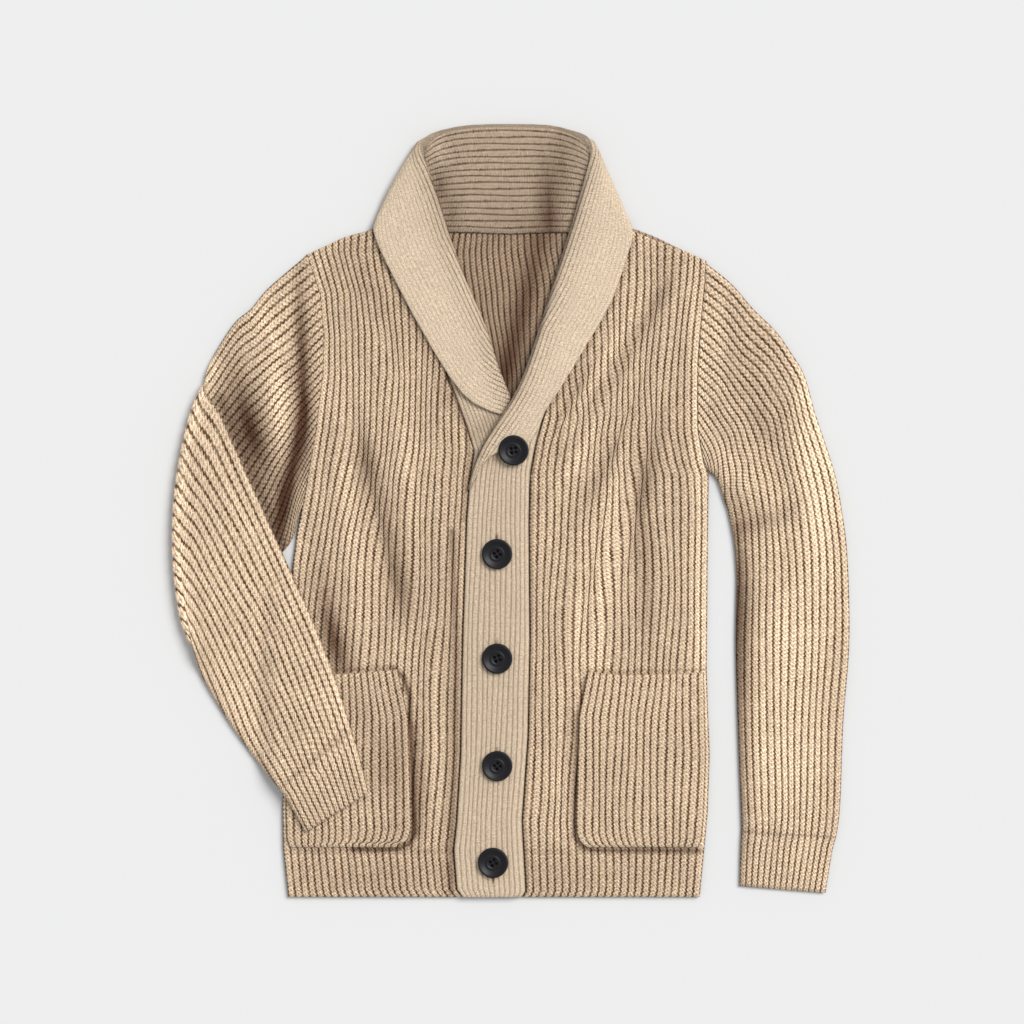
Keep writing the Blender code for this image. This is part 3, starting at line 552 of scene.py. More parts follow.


# %% [markdown]
# ## Painted shade in deep places
#
# The garment was not pressed: its real folds, neck and sleeves are deeper than these pieces, which lie in
# a low box, can be. A value called shade is kept at every point and darkens the wool there: it is
# painted shade, for the light that deep places miss, and painted light where it goes above 1. It
# belongs to the cloth, so it stays where it is from any side.

# %% Where shade and light are painted on the cloth
# middle x and y, half length along the dark place, half width, angle, how much darker as painted shade
# (below 0: lighter, as painted light)
SHADES = (
    (-130, -5, 85, 9, 102.7, 0.42), (-120, -75, 40, 8, 98, 0.2), (-103, -74, 36, 9, 100, 0.24),
    (-150, 36, 32, 8, 95, 0.2), (-187, -80, 60, 10, 100, 0.24), (-177, -132, 42, 13, 106, 0.76),
    (-212, -40, 26, 9, 96, -0.14), (-150, 240, 40, 13, 92, 0.2), (-127, 200, 44, 12, 112, 0.2),
    (-66, -250, 170, 10, 90, 0.22), (-92, -250, 85, 8, 90, 0.16), (-96, 185, 70, 9, 117, 0.22),
    (-62, 112, 30, 7, 122, 0.2), (60, 114, 52, 6, 60, 0.3), (105, 66, 60, 7, 68, 0.2),
    (130, 14, 60, 8, 82, 0.18), (134, -70, 75, 10, 92, 0.32), (129, 30, 40, 7, 84, 0.24),
    (-74, -245, 120, 7, 90, -0.16), (-112, -185, 50, 8, 92, -0.16), (48, -240, 70, 6, 90, -0.16),
    (47, 65, 16, 7, 80, 0.24), (150, 75, 60, 8, 75, 0.2), (168, 70, 90, 7, 85, 0.16),
    (118, 160, 58, 7, 62, 0.3), (148, 213, 28, 9, 66, 0.32), (82, 28, 50, 7, 63, 0.22),
    (58, -235, 62, 8, 90, 0.16), (97, -30, 118, 8, 81, -0.4), (68, -128, 48, 9, 90, -0.26),
    (88, 142, 66, 7, 60, -0.3), (66, 54, 56, 7, 61, -0.26), (-164, -10, 95, 9, 97, -0.12),
    (-108, 60, 60, 10, 98, -0.1), (183, 150, 115, 6, 91, -0.3), (189, -150, 250, 7, 90, -0.36),
    (88, -150, 60, 7, 90, -0.16), (-92, -272, 46, 8, 90, 0.22), (-112, -265, 40, 7, 92, 0.14),
    (-72, -80, 70, 7, 92, 0.14), (-222, -300, 60, 8, 90, -0.35), (-146, 52, 26, 9, 100, 0.26),
    (-112, -78, 30, 7, 104, 0.2), (-60, 50, 50, 9, 98, 0.18), (-172, 250, 40, 10, 60, 0.14),
    (148, 250, 22, 10, 70, 0.12), (-192, 130, 110, 5, 90, -0.24), (-140, -366, 130, 24, 0, 0.21),
    (110, -366, 110, 24, 0, 0.16),
)
# dark bells on the bands, in the columns of SHADES: a little darker over most of their length, painted
# shade in the slits of the buttonholes, and painted shade by the lapels' edges and in the hollow beside
# the top button
BAND_SHADES = (
    (-15, -170, 420, 90, 90, 0.1), (-15.2, -25.5, 3.2, 1.3, 90, 0.85),
    (-15, -130.3, 2.6, 1.2, 90, 0.55), (-15, -237.5, 2.6, 1.2, 90, 0.55),
    (-19, -368.5, 3.6, 1.3, 90, 0.8), (-54, 96, 30, 9, 125, 0.22), (-26, 86, 26, 9, 42, 0.2),
    (-14, 56, 9, 5, 50, 0.35),
)
DARKEST = 0.05
LIGHTEST = 1.5


def shade_of(table, x, y):
    """What is left of the light at a place: one less the sum of a table's dark bells."""
    return np.clip(1.0 - fold_height(table, x, y), DARKEST, LIGHTEST)


# %% A painted shadow beside an edge
def near_line(x, y, line, width):
    """1 on a line of points and less beside it: exp(-(distance / width)^2)."""
    line = np.array(line)
    nearest = np.full(np.broadcast(x, y).shape, np.inf)
    for (x1, y1), (x2, y2) in zip(line[:-1], line[1:]):
        run = np.array([x2 - x1, y2 - y1])
        along = np.clip(((x - x1) * run[0] + (y - y1) * run[1]) / (run @ run), 0.0, 1.0)
        nearest = np.minimum(nearest, np.hypot(x - x1 - along * run[0], y - y1 - along * run[1]))
    return np.exp(-((nearest / width) ** 2))


# points of a line, half width, how much darker: painted shadow beside the pockets and their mouths, the
# forearm's cuff, the lapels and the bands, and painted shade along the top of the hem rib
PAINTED_EDGE_SHADOWS = (
    (((-118, -158), (-108, -166), (-102.5, -185), (-101, -230), (-98, -301), (-97, -320), (-103, -333),
      (-116, -338), (-160, -338)), 3, 0.86),
    (((-98, -215), (-96, -301), (-96.5, -325)), 4.5, 0.34),
    (((-207, -327), (-175, -309), (-143, -289)), 4, 0.5),
    (((74, -166), (66, -205), (62.5, -301), (62, -324), (68, -335), (80, -339),
      (188, -340)), 2.6, 0.72),
    (((-228, -159.5), (-179, -159.5), (-130, -156.5), (-118, -155)), 2.2, 0.42),
    (((70, -159.5), (110, -160.5), (150, -159.5), (196, -158)), 2, 0.36),
    (((-139, 280), (-128, 250), (-100, 193), (-66, 133), (-38, 105)), 3.4, 0.16),
    (((121, 272), (117, 250), (101, 207), (76, 164), (52, 124), (36, 100)), 3, 0.24),
    (((-60, -20), (-56, -129), (-56.5, -244), (-60, -311), (-61, -380)), 4.2, 0.52),
    (((-62, 131), (-54, 108), (-46, 84), (-42, 60), (-46, 30), (-48, -9)), 3, 0.4),
    (((25, 66), (19.5, 30), (19, -129), (17, -225), (12, -311), (15.5, -380)), 2.2, 0.42),
    (((-228, -340.5), (-60, -340.5)), 2, 0.26), (((12, -340.5), (192, -340.5)), 2, 0.22),
)


def contact_shade(x, y):
    """What is left of the light, as painted shadow, beside the edges of what lies on the cloth."""
    shade = np.ones(np.broadcast(x, y).shape)
    for line, width, dark in PAINTED_EDGE_SHADOWS:
        shade = shade * (1.0 - dark * near_line(x, y, line, width))
    return shade


# %% [markdown]
# ## Fronts, bands, back and pockets
#
# A panel hangs between a left and a right edge. A column of its grid is a constant share of the way
# across, so the ribs spread and close with the panel as knitted ribs do, and each one runs up until it
# meets the shoulder, the neck or the lapel.

# %% The grid of a panel
TOP_LIMIT = 330.0     # above every top edge
TOP_STEPS = 1400
STITCH = 4.1          # length of a stitch
ROW_STEP = 2.6        # between the rows of points
FIRST_ROWS = (0.0, 0.6, 1.4)   # the rim needs closer rows
# size as a share of the width, length, tilt across the panel, phase
WAVES = ((0.014, 75, 3, 0.4), (0.009, 43, -7, 2), (0.0045, 21, 14, 1.1), (0.0035, 130, 29, 0.5))
WAVE_FADE = 90.0      # over which they grow above the hem
CROWDING = 4.5        # how strongly ribs spread on a ridge and crowd in a trough


def rib_wave(shares, y):
    """Sideways drift of the ribs as a share of the panel's width, none at its edges and at the hem: a
    sum of sines of the height whose phase moves across the panel."""
    drift = np.zeros(np.broadcast(shares, y).shape)
    for size, length, tilt, phase in WAVES:
        drift = drift + size * np.sin(y / length + tilt * shares + phase)
    return drift * np.minimum(1.0, 8.0 * shares * (1.0 - shares)) * smooth((y - HEM) / WAVE_FADE)


def panel_points(left, right, top, shares, bottom=HEM, step=ROW_STEP):
    """x and y on a panel for shares of its width: rows at a constant step up to the hem rib, then a
    constant share of the way to the place where the column meets the top edge."""
    search = np.linspace(bottom, TOP_LIMIT, TOP_STEPS)
    x = curve(left, search)[None] + shares[:, None] * (curve(right, search) - curve(left, search))[None]
    beyond = search[None] > curve(top, x)
    beyond[:, -1] = True
    tops = search[np.argmax(beyond, axis=1)]
    low = bottom + np.concatenate([FIRST_ROWS, np.arange(step, HEM_RIB - bottom, step)])
    count = int((np.max(tops) - low[-1]) / step)
    high = np.append(np.linspace(0.0, 1.0, count)[1:-1], [1.0 - 0.5 / count, 1.0])
    y = np.concatenate([
        np.repeat(low[:, None], len(shares), axis=1),
        low[-1] + high[:, None] * (tops - low[-1])[None],
    ])
    width = curve(right, y) - curve(left, y)
    x = curve(left, y) + (shares[None] + rib_wave(shares[None], y)) * width
    slope = (fold_height(FOLDS, x + 1.0, y) - fold_height(FOLDS, x - 1.0, y)) / 2.0
    inside = smooth(10.0 * shares * (1.0 - shares))[None] * smooth((y - HEM_RIB) / FADE)
    return x - CROWDING * slope * inside, y


# %% A ribbed panel
EDGE_ROUND = 3.0
EDGE_THIN = 0.35
HEM_DIP = 0.7
HEM_DIP_WIDTH = 2.4


def edge_share(x, y):
    """How full the wall is near the rim of a grid: a quarter circle over EDGE_ROUND from each edge."""
    from_side = np.minimum(np.abs(x - x[:, :1]), np.abs(x - x[:, -1:]))
    from_end = np.minimum(np.abs(y - y[:1]), np.abs(y - y[-1:]))
    full = rounded(from_side, EDGE_ROUND) * rounded(from_end, EDGE_ROUND)
    return EDGE_THIN + (1.0 - EDGE_THIN) * full


def groove_at(distance, deep=HEM_DIP, width=HEM_DIP_WIDTH):
    """A shallow line in the cloth: its depth times exp(-(distance / width)^2)."""
    return deep * np.exp(-((distance / width) ** 2))


def add_panel(
        name, sides, top, level, ribs, rise, material, shade_at, ride_on=swell, groove=None, stitch=STITCH,
        bottom=HEM, depth=1.0):
    """A panel that lies at a level and rides on what is under it, with its ribs on the upper face."""
    numbers = rib_columns(ribs)
    x, y = panel_points(*sides, top, numbers / ribs, bottom)
    base = level + ride_on(x, y)
    line = groove(y) if groove else 0.0
    height = (WALL + rise * rib_height(numbers)[None] - line) * edge_share(x, y)
    return add_shell(
        name, at_height(x, y, base + height), at_height(x, y, base), numbers[None], y / stitch, material,
        shade=shade_at(x, y), depth=depth)


def moved(table, across):
    """A table of an upright edge, moved sideways."""
    return tuple((y, x + across) for y, x in table)


# %% The two fronts
FRONT_RIBS = 24


def front_shade(x, y):
    """What is left of the light on a front: painted shade and light of its folds and deep places, and
    painted shadow beside what lies on it.
    """
    return shade_of(SHADES, x, y) * contact_shade(x, y)


def hem_line(y):
    """The line where the hem rib begins."""
    return groove_at(y - HEM_RIB)


for name, sides, top in (
        ("knit_front_left", (BAND_RIGHT_EDGE, SIDE_LEFT), TOP_FRONT_LEFT),
        ("knit_front_right", (SIDE_RIGHT, moved(BAND_LEFT_EDGE, -BAND_GAP)), TOP_FRONT_RIGHT)):
    add_panel(name, sides, top, FRONT_LEVEL, FRONT_RIBS, RIB_RISE, body_wool, front_shade, groove=hem_line)

# %% The two front bands
BAND_RIBS = 13
UNDER_BAND_RIBS = 10
BAND_STITCH = 2.5
BAND_DEPTH = 0.5      # how deep the grooves of a band look
BAND_DROP = 2.0
BAND_DROP_START = 11.0
BAND_DROP_WIDTH = 10.0
UNDER_BAND_INSET = 12.0


def band_ride(x, y):
    """The upper band follows the folds, and drops to the level of the front where it is sewn to it."""
    edge = curve(BAND_RIGHT_EDGE, y)
    return swell(x, y) - BAND_DROP * smooth((x - edge + BAND_DROP_START) / BAND_DROP_WIDTH)


def flat_on(x, y):
    """The height of what lies flat on the level below it."""
    return np.zeros(np.broadcast(x, y).shape)


UNDER_BAND_LEFT = tuple(row for row in BAND_LEFT_EDGE if row[0] < 50.0) + (
    (60, -37.5), (86, -45.5), (111, -54.5), (133, -62.5), (171, -66.5),
)
UNDER_BAND_RIGHT = tuple(row for row in moved(BAND_RIGHT_EDGE, -UNDER_BAND_INSET) if row[0] < 20.0) + (
    (38, 4), (60, 2), (94, -8), (133, -24), (171, -34),
)
BAND_EDGES = (BAND_LEFT_EDGE, moved(BAND_RIGHT_EDGE, -BAND_GAP))
for name, sides, top, level, ribs, ride_on in (
        ("knit_button_band", (UNDER_BAND_LEFT, UNDER_BAND_RIGHT), TOP_BUTTON_BAND, FRONT_LEVEL,
         UNDER_BAND_RIBS, flat_on),
        ("knit_buttonhole_band", BAND_EDGES, TOP_BUTTONHOLE_BAND, BAND_LEVEL, BAND_RIBS, band_ride)):
    add_panel(
        name, sides, top, level, ribs, FINE_RISE, band_wool, partial(shade_of, BAND_SHADES), ride_on,
        stitch=BAND_STITCH, depth=BAND_DEPTH)

# %% [markdown]
# The back lies under everything, so it is seen from two sides: its inner face shows in the neck and in
# the crook of the folded sleeve, and its outer face is what a viewer sees from below. Both faces of its
# wall carry ribs, as knitting does. On the outer face the crests rest on the table and the grooves lie
# above it.

# %% The back
BACK_PITCH = 6.2      # width of a rib
BACK_STEPS = np.array([0.0, 0.12, 0.38, 0.62, 0.88])
BACK_ROW_STEP = 5.4
UNDER_RISE = 0.9
UNDER_EDGE = 0.3      # height of the rim above the table
INNER_STITCH = 3.6
UNDER_COLLAR = 12.0   # how far the back reaches under the collar
CHEST_HALF = 205.0
# painted shade over both faces of the back, whose inner face lies deep in the neck and in the crook of the
# folded sleeve
INSIDE_SHADE = 0.55
# x, and the y above which no panel lies on the back
RIBS_SHOW_FROM = (
    (-240, -90), (-200, -90), (-196, 310), (-78, 310), (-70, 240), (-66, 190), (-60, 155), (-50, 135),
    (-20, 108), (10, 104), (28, 112), (39, 150), (49, 190), (58, 235), (66, 285), (72, 310),
)
SHOW_FADE = 6.0
# painted shade on the back's inner face in the neck, where the lapels shade it
NECK_SHADES = ((10, 200, 120, 13, 76, 0.7), (-10, 130, 40, 14, 80, 0.35), (0, 275, 60, 10, 0, 0.15))


def add_back():
    """Two faces of ribs on one wall, with the upper ribs kept low where another panel lies on them."""
    count = int(2.0 * CHEST_HALF / BACK_PITCH)
    numbers = rib_columns(count, BACK_STEPS)
    top = SHOULDER_RIGHT + tuple((x, y + UNDER_COLLAR) for x, y in NECK_BACK) + SHOULDER_LEFT
    x, y = panel_points(SIDE_RIGHT, SIDE_LEFT, top, numbers / count, step=BACK_ROW_STEP)
    shows = smooth((y - curve(RIBS_SHOW_FROM, x)) / SHOW_FADE)
    full = edge_share(x, y)
    ribs = rib_height(numbers)[None]
    outer = at_height(x, y, (WALL + RIB_RISE * ribs * shows) * full)
    inner = at_height(x, y, UNDER_RISE * (1.0 - ribs) * full + UNDER_EDGE * (1.0 - full))
    return add_shell(
        "knit_back", outer, inner, numbers[None], y / INNER_STITCH, body_wool, every=(1, 1),
        shade=INSIDE_SHADE * shade_of(NECK_SHADES, x, y))


add_back()

# %% [markdown]
# A patch pocket is a small panel of its own that lies on the front and is sewn down on three sides. Its
# mouth is a folded edge that curls a little, and its lower corners are round.

# %% The pockets
POCKET_RIBS = 17
POCKET_BOTTOM = -336.0
# y and x of the left and the right edge
POCKET_LEFT_SIDES = (
    ((-335, 74), (-331, 68), (-322, 64.5), (-301, 64), (-205, 67), (-165, 75)),
    ((-336, 186), (-328, 190), (-300, 192), (-244, 194), (-161, 192)),
)
POCKET_RIGHT_SIDES = (
    ((-339, -221), (-328, -225.5), (-297, -226.5), (-160, -222)),
    ((-333, -115), (-329, -104), (-318, -100.5), (-301, -101), (-205, -104), (-160, -114)),
)
POCKET_LEFT_TOP = ((64, -163), (82, -161), (110, -164), (150, -163), (196, -161))
POCKET_RIGHT_TOP = ((-226, -163), (-179, -163), (-130, -160), (-116, -158), (-100, -160))
MOUTH_LINE = 8.0      # how far the line of stitches is below the mouth
MOUTH_DIP = 0.5
MOUTH_DIP_WIDTH = 1.6
# painted shade on the pocket beside and under the cuff of the folded sleeve
POCKET_SHADES = (
    (-150, -250, 90, 50, 90, 0.06), (-126, -259, 40, 15, 90, 0.22), (-112, -245, 90, 9, 90, 0.2),
    (-150, -205, 40, 16, 116, 0.18), (-140, -320, 60, 14, 0, 0.1),
)


def mouth_line(y):
    """The shallow line of stitches below the mouth."""
    return groove_at(y[-1:] - y - MOUTH_LINE, MOUTH_DIP, MOUTH_DIP_WIDTH)


for name, sides, top in (
        ("knit_pocket_left", POCKET_LEFT_SIDES, POCKET_LEFT_TOP),
        ("knit_pocket_right", POCKET_RIGHT_SIDES, POCKET_RIGHT_TOP)):
    add_panel(
        name, sides, top, POCKET_LEVEL, POCKET_RIBS, RIB_RISE, body_wool, partial(shade_of, POCKET_SHADES),
        groove=mouth_line, bottom=POCKET_BOTTOM)

# %% [markdown]
# ## Sleeves
#
# A sleeve is a tube that lies flat. Its middle surface is a strip between an outer and an inner edge, and
# the knitting stands off that surface on both sides by half the thickness of the tube, less near the
# edges, where the tube rounds over. The right sleeve has a crease at the elbow: there the middle surface
# rolls over by half a turn, and the forearm comes back on top, over the front.

# %% Tables of the sleeves
GAP = 0.6             # air inside the tube
TUBE_HALF = WALL + GAP / 2.0
FOLD_RADIUS = 3.25    # of the roll at the elbow
ARMHOLE_GAP = -0.6
ARMHOLE_ROWS = 36.0
# outer edge x and y, inner edge x and y, how far the section bows sideways at its middle, and how many
# ribs cross it
SLEEVE_LEFT = (
    (195.5, 249, 196.5, 44, -7, 22),
    (221, 228, 199, 41, -3, 20.5),
    (242, 203, 201, 38, 0, 19),
    (264, 181, 203, 35, 2, 17.8),
    (279, 160, 206, 30, 3, 17),
    (293, 136, 209, 22, 3, 16.6),
    (303, 101, 212, 12, 2, 16.2),
    (313, 71, 216, 1, 1, 16),
    (324, 36, 220, -17, 0, 15.8),
    (330, 4, 223, -36, 0, 15.5),
    (336, -44, 225, -69, 0, 15.3),
    (338, -130, 224, -129, 0, 15.1),
    (332, -210, 226, -210, 0, 15),
    (329, -290, 229, -290, 0, 15),
    (325.5, -322, 230, -316, 0, 15),
    (321, -340, 229, -336, 0, 15),
    (314, -382, 228, -375, 0, 15),
)
UPPER_ARM = (
    (-208, 257, -211, -11, 18, 30),
    (-231, 237, -214, -17, 12, 28),
    (-247, 221.5, -218, -25, 6, 26.5),
    (-261, 203.5, -224, -34, 0, 25),
    (-277, 190, -234, -45, -4, 23.6),
    (-295, 163, -254, -64, -9, 22),
    (-305.5, 142, -282, -89, -13, 20.2),
)
CREASE = (-303.5, 132, -319, -134, -19.7, 18.2)
FOREARM = (
    (-301, 118, -317, -145, -15, 17.8),
    (-288, 90, -313, -160, -10, 17.4),
    (-267, 42, -306, -174, -5, 16.9),
    (-244, -9, -296, -191, -2, 16.4),
    (-222, -58, -283, -212, 0, 15.8),
    (-202, -102, -269, -232, 0, 15.1),
    (-184, -146, -254, -252, 0, 14.6),
    (-170, -186, -240, -268, 0, 14.2),
    (-156, -231, -229, -281, 0, 13.8),
    (-153, -240, -226, -285, 0, 13.8),
    (-143, -281, -206, -320, 0, 13.5),
)
UNDERARM_LINE = (-211.0, -11.0, -319.0, -134.0)   # the upper arm lies above this line
SKIRT = 26.0          # over which cloth sinks past the edge of what it lies on

# %% Strips between two edges
ROWS_BETWEEN = 12     # rows of points from one row of a table to the next
BOW_FADE = 20.0       # rows over which the waves of the ribs grow
# size as a share of the width, length in rows, tilt across the sleeve, phase
SLEEVE_WAVES = ((0.008, 21, 3, 0.4), (0.006, 11, -8, 2), (0.004, 6, 15, 1.1))


def through(table, steps):
    """A smooth curve through each row of a table, with a number of steps between rows."""
    known = np.array(table)
    before = np.concatenate([2.0 * known[:1] - known[1:2], known[:-1]])
    after = np.concatenate([known[1:], 2.0 * known[-1:] - known[-2:-1]])
    slope = (after - before) / 2.0
    t = (np.arange(steps) / steps)[None, :, None]
    a, b = known[:-1, None], known[1:, None]
    m, n = slope[:-1, None], slope[1:, None]
    made = a * (2 * t**3 - 3 * t**2 + 1) + b * (3 * t**2 - 2 * t**3)
    made = made + m * (t**3 - 2 * t**2 + t) + n * (t**3 - t**2)
    return np.concatenate([made.reshape(-1, known.shape[1]), known[-1:]])


def strip_points(rows, ribs, shift=0.0):
    """x and y on the strip between the outer and the inner edge, with each section's sideways bow. Ribs
    are counted from the outer edge, and those over a section's own count end at its inner edge. A shift
    moves the ribs of a row along its section."""
    places = ribs[None] / rows[:, 5:6]
    at = np.arange(len(rows))[:, None]
    drift = sum(
        size * np.sin(at / length + tilt * places + phase) for size, length, tilt, phase in SLEEVE_WAVES)
    drift = drift * smooth(at / BOW_FADE) * smooth((len(rows) - 1 - at) / BOW_FADE)
    inside = np.minimum(1.0, 6.0 * places * np.maximum(1.0 - places, 0.0))
    places = np.clip(places + drift * inside + shift, 0.0, 1.0)
    x = rows[:, 0:1] + places * (rows[:, 2:3] - rows[:, 0:1])
    x = x + 4.0 * rows[:, 4:5] * places * (1.0 - places)
    y = rows[:, 1:2] + places * (rows[:, 3:4] - rows[:, 1:2])
    return x, y, places


def meet_armhole(x, y, edge, side):
    """Moves the first rows sideways, so that the first one lies along the armhole, fades that out, and
    keeps every row on the sleeve's side of the body's edge. side is 1 on the left and -1 on the right."""
    gap = side * ARMHOLE_GAP
    away = curve(edge, y[:1]) + gap - x[:1]
    fade = 1.0 - smooth(np.arange(len(x)) / ARMHOLE_ROWS)
    return side * np.maximum(side * (x + away * fade[:, None]), side * (curve(edge, y) + gap))


POCKET_CREST = POCKET_LEVEL + WALL + RIB_RISE
POCKET_MOUTH = -150.0
TABLE_AIR = 0.3       # the forearm never lies lower than this
MARGIN = 5.0          # how far beyond an edge the cloth starts to sink


def support(x, y):
    """Height of what the folded forearm lies on: its own upper arm, the front, then the pocket."""
    x1, y1, x2, y2 = UNDERARM_LINE
    above = ((y - y1) * (x1 - x2) - (x - x1) * (y1 - y2)) / np.hypot(x2 - x1, y2 - y1)
    inside = x - curve(SIDE_RIGHT, y)
    lower = np.minimum(inside, POCKET_MOUTH - y)
    upper_arm = (2.0 * FOLD_RADIUS) * smooth(1.0 + above / SKIRT)
    front = (FRONT_CREST + SEAM + swell(x, y)) * smooth(1.0 + (inside + MARGIN) / SKIRT)
    pocket = (POCKET_CREST + 2.0 * SEAM + swell(x, y)) * smooth(1.0 + (lower + MARGIN) / SKIRT)
    return np.maximum(np.maximum(upper_arm, front), np.maximum(pocket, TABLE_AIR))


# %% The middle surface of each sleeve
FOLD_ROWS = 15
SLANT = 0.075         # share of the crease that a rib runs along it while it goes round it
SLANT_ROWS = 22.0
CREASE_TAPER = 0.12   # share of the crease at each end over which its roll grows to full size
CREASE_STEPS = 200


def facing(x, up):
    """A grid of vectors that point straight up, or down where up is -1."""
    return at_height(0.0 * x, 0.0 * x, up)


def straight_middle(ribs):
    """Middle surface, normal and places of the sleeve that lies straight."""
    x, y, places = strip_points(through(SLEEVE_LEFT, ROWS_BETWEEN), ribs)
    x = meet_armhole(x, y, SIDE_LEFT, 1.0)
    return at_height(x, y, TUBE_HALF), facing(x, 1.0), places


def crease_middle(ribs):
    """The half turn at the elbow: each point of the crease goes round a roll that is widest between the
    two ends of the crease, by a sine of the turn sideways and one less its cosine upwards."""
    fine = np.linspace(0.0, 1.0, CREASE_STEPS)
    x, y, _ = strip_points(np.array([CREASE]), fine * CREASE[5])
    run = np.stack([np.gradient(x[0], fine), np.gradient(y[0], fine)])
    out = np.stack([run[1], -run[0]]) / np.hypot(*run)
    turn = np.linspace(0.0, np.pi, FOLD_ROWS)[:, None]
    x, y, places = strip_points(np.repeat([CREASE], FOLD_ROWS, axis=0), ribs, SLANT * (turn / np.pi - 0.5))
    out = np.stack([np.interp(places, fine, part) for part in out])
    reach = FOLD_RADIUS * np.sin(turn) * smooth(np.minimum(places, 1.0 - places) / CREASE_TAPER)
    rise = TUBE_HALF + FOLD_RADIUS * (1.0 - np.cos(turn))
    roll = at_height(x + out[0] * reach, y + out[1] * reach, rise)
    normal = np.stack([-out[0] * np.sin(turn), -out[1] * np.sin(turn), np.cos(turn) + 0.0 * x], axis=-1)
    return roll, normal, places


def folded_middle(ribs):
    """Middle surface, normal and places of the folded sleeve: upper arm, half a turn, forearm."""
    rows = through(UPPER_ARM + (CREASE,), ROWS_BETWEEN)[:-1]
    near = smooth(1.0 - np.arange(len(rows))[::-1, None] / SLANT_ROWS)
    x, y, places = strip_points(rows, ribs, -0.5 * SLANT * near)
    x = meet_armhole(x, y, SIDE_RIGHT, -1.0)
    upper = at_height(x, y, TUBE_HALF), facing(x, 1.0), places
    rows = through((CREASE,) + FOREARM, ROWS_BETWEEN)[1:]
    near = smooth(1.0 - np.arange(len(rows))[:, None] / SLANT_ROWS)
    x, y, places = strip_points(rows, ribs, 0.5 * SLANT * near)
    lower = at_height(x, y, TUBE_HALF + support(x, y)), facing(x, -1.0), places
    return tuple(np.concatenate(parts) for parts in zip(upper, crease_middle(ribs), lower))


# %% Where the sleeves fold, and where shade and light are painted on them
CROWN = 2.6           # how far the visible face of a tube arches
CROWN_FADE = 40.0
# middle x and y, half length, half width, angle, height, or darkness as painted shade (below 0: painted
# light), as in the tables of the fronts
SLEEVE_FOLDS = (
    (-243, 105, 90, 20, 100, 5), (-262, 40, 60, 16, 108, -4), (-203, 60, 110, 9, 90, -3),
    (-232, 160, 60, 9, 130, 2.5), (232, 60, 60, 13, 115, 3), (243, -10, 60, 12, 100, -2),
    (292, 20, 130, 16, 98, 3), (270, -60, 120, 9, 92, -2), (262, -180, 120, 10, 90, 1.6),
    (300, -200, 120, 12, 90, 1.4),
)
SLEEVE_SHADES = (
    (-210, 148, 86, 8.5, 92, 0.88), (-215, 66, 44, 9, 80, 0.72), (-229, 2, 48, 10, 80, 0.95),
    (-262, 82, 56, 17, 107, 0.95), (-234, 118, 62, 8, 94, -0.42), (-255, 188, 36, 10, 84, -0.2),
    (-222, 190, 40, 7, 96, -0.16), (190, 150, 115, 7, 91, -0.36), (206, 170, 60, 8, 88, -0.3),
    (248, 140, 70, 30, 112, 0.14), (252, 84, 26, 12, 125, 0.26), (229, -90, 92, 11, 91, 0.62),
    (250, -240, 120, 9, 90, -0.24), (226, -225, 130, 10, 90, 0.42), (256, -8, 38, 11, 20, 0.38),
    (224, 42, 44, 14, 130, -0.36), (302, 50, 105, 18, 95, -0.46), (318, 40, 90, 14, 96, -0.2),
    (284, -180, 190, 34, 90, -0.42),
)
FOREARM_SHADES = (
    (-262, -20, 170, 5, 115, -0.12), (-185, -150, 170, 5, 112, -0.12),
    (-250, -120, 170, 60, 118, -0.12), (-262, -210, 90, 16, 116, -0.28),
)
# painted light along the outer side of the elbow's crease
CREASE_LINE = ((-300, 145), (-316, 110), (-330, 60), (-337, 0), (-335, -60), (-322, -130))
CREASE_LIGHT = 0.5
CREASE_WIDTH = 9.0
# painted shade on the upper arm beside the edge of the forearm
FOREARM_EDGE = ((-292, 112), (-270, 60), (-246, 4), (-222, -50))
FOREARM_EDGE_SHADE = 0.6
FOREARM_WIDTH = 7.0


def straight_shade(x, y, side):
    """What is left of the light on the straight sleeve, the same on both sides of it."""
    return shade_of(SLEEVE_SHADES, x, y)


def folded_shade(x, y, side):
    """The same on the folded one: its face of side -1 is the one that shows on the forearm. It gets
    painted shade on the upper arm beside the forearm, and painted light along the crease."""
    light = 1.0 + CREASE_LIGHT * near_line(x, y, CREASE_LINE, CREASE_WIDTH)
    if side < 0.0:
        return shade_of(FOREARM_SHADES, x, y) * light
    beside = 1.0 - FOREARM_EDGE_SHADE * near_line(x, y, FOREARM_EDGE, FOREARM_WIDTH)
    return shade_of(SLEEVE_SHADES, x, y) * beside * light


# %% A flattened tube of ribs
UNDER_STEPS = np.array([0.0, 0.12, 0.5, 0.88])
TUBE_ROUND = 7.0
CUFF_LENGTH = 55.0
# darkness of a line of painted shade where the cuff begins
CUFF_SHADE = 0.28
END_THIN = 0.25       # thickness of the wall at the end of the cuff, as a share
INNER_INSET = 0.04    # the inner wall stops this share of the width before each edge
INNER_COLUMNS = 12
MERGE_DISTANCE = 1e-6


def close_ends(piece):
    """Merges the points of ribs that have ended, and of faces that have shrunk to nothing with them."""
    shape = bmesh.new()
    shape.from_mesh(piece.data)
    bmesh.ops.remove_doubles(shape, verts=shape.verts, dist=MERGE_DISTANCE)
    shape.to_mesh(piece.data)
    shape.free()
    print(f"{piece.name}: {len(piece.data.polygons)} faces after merging")
    return piece


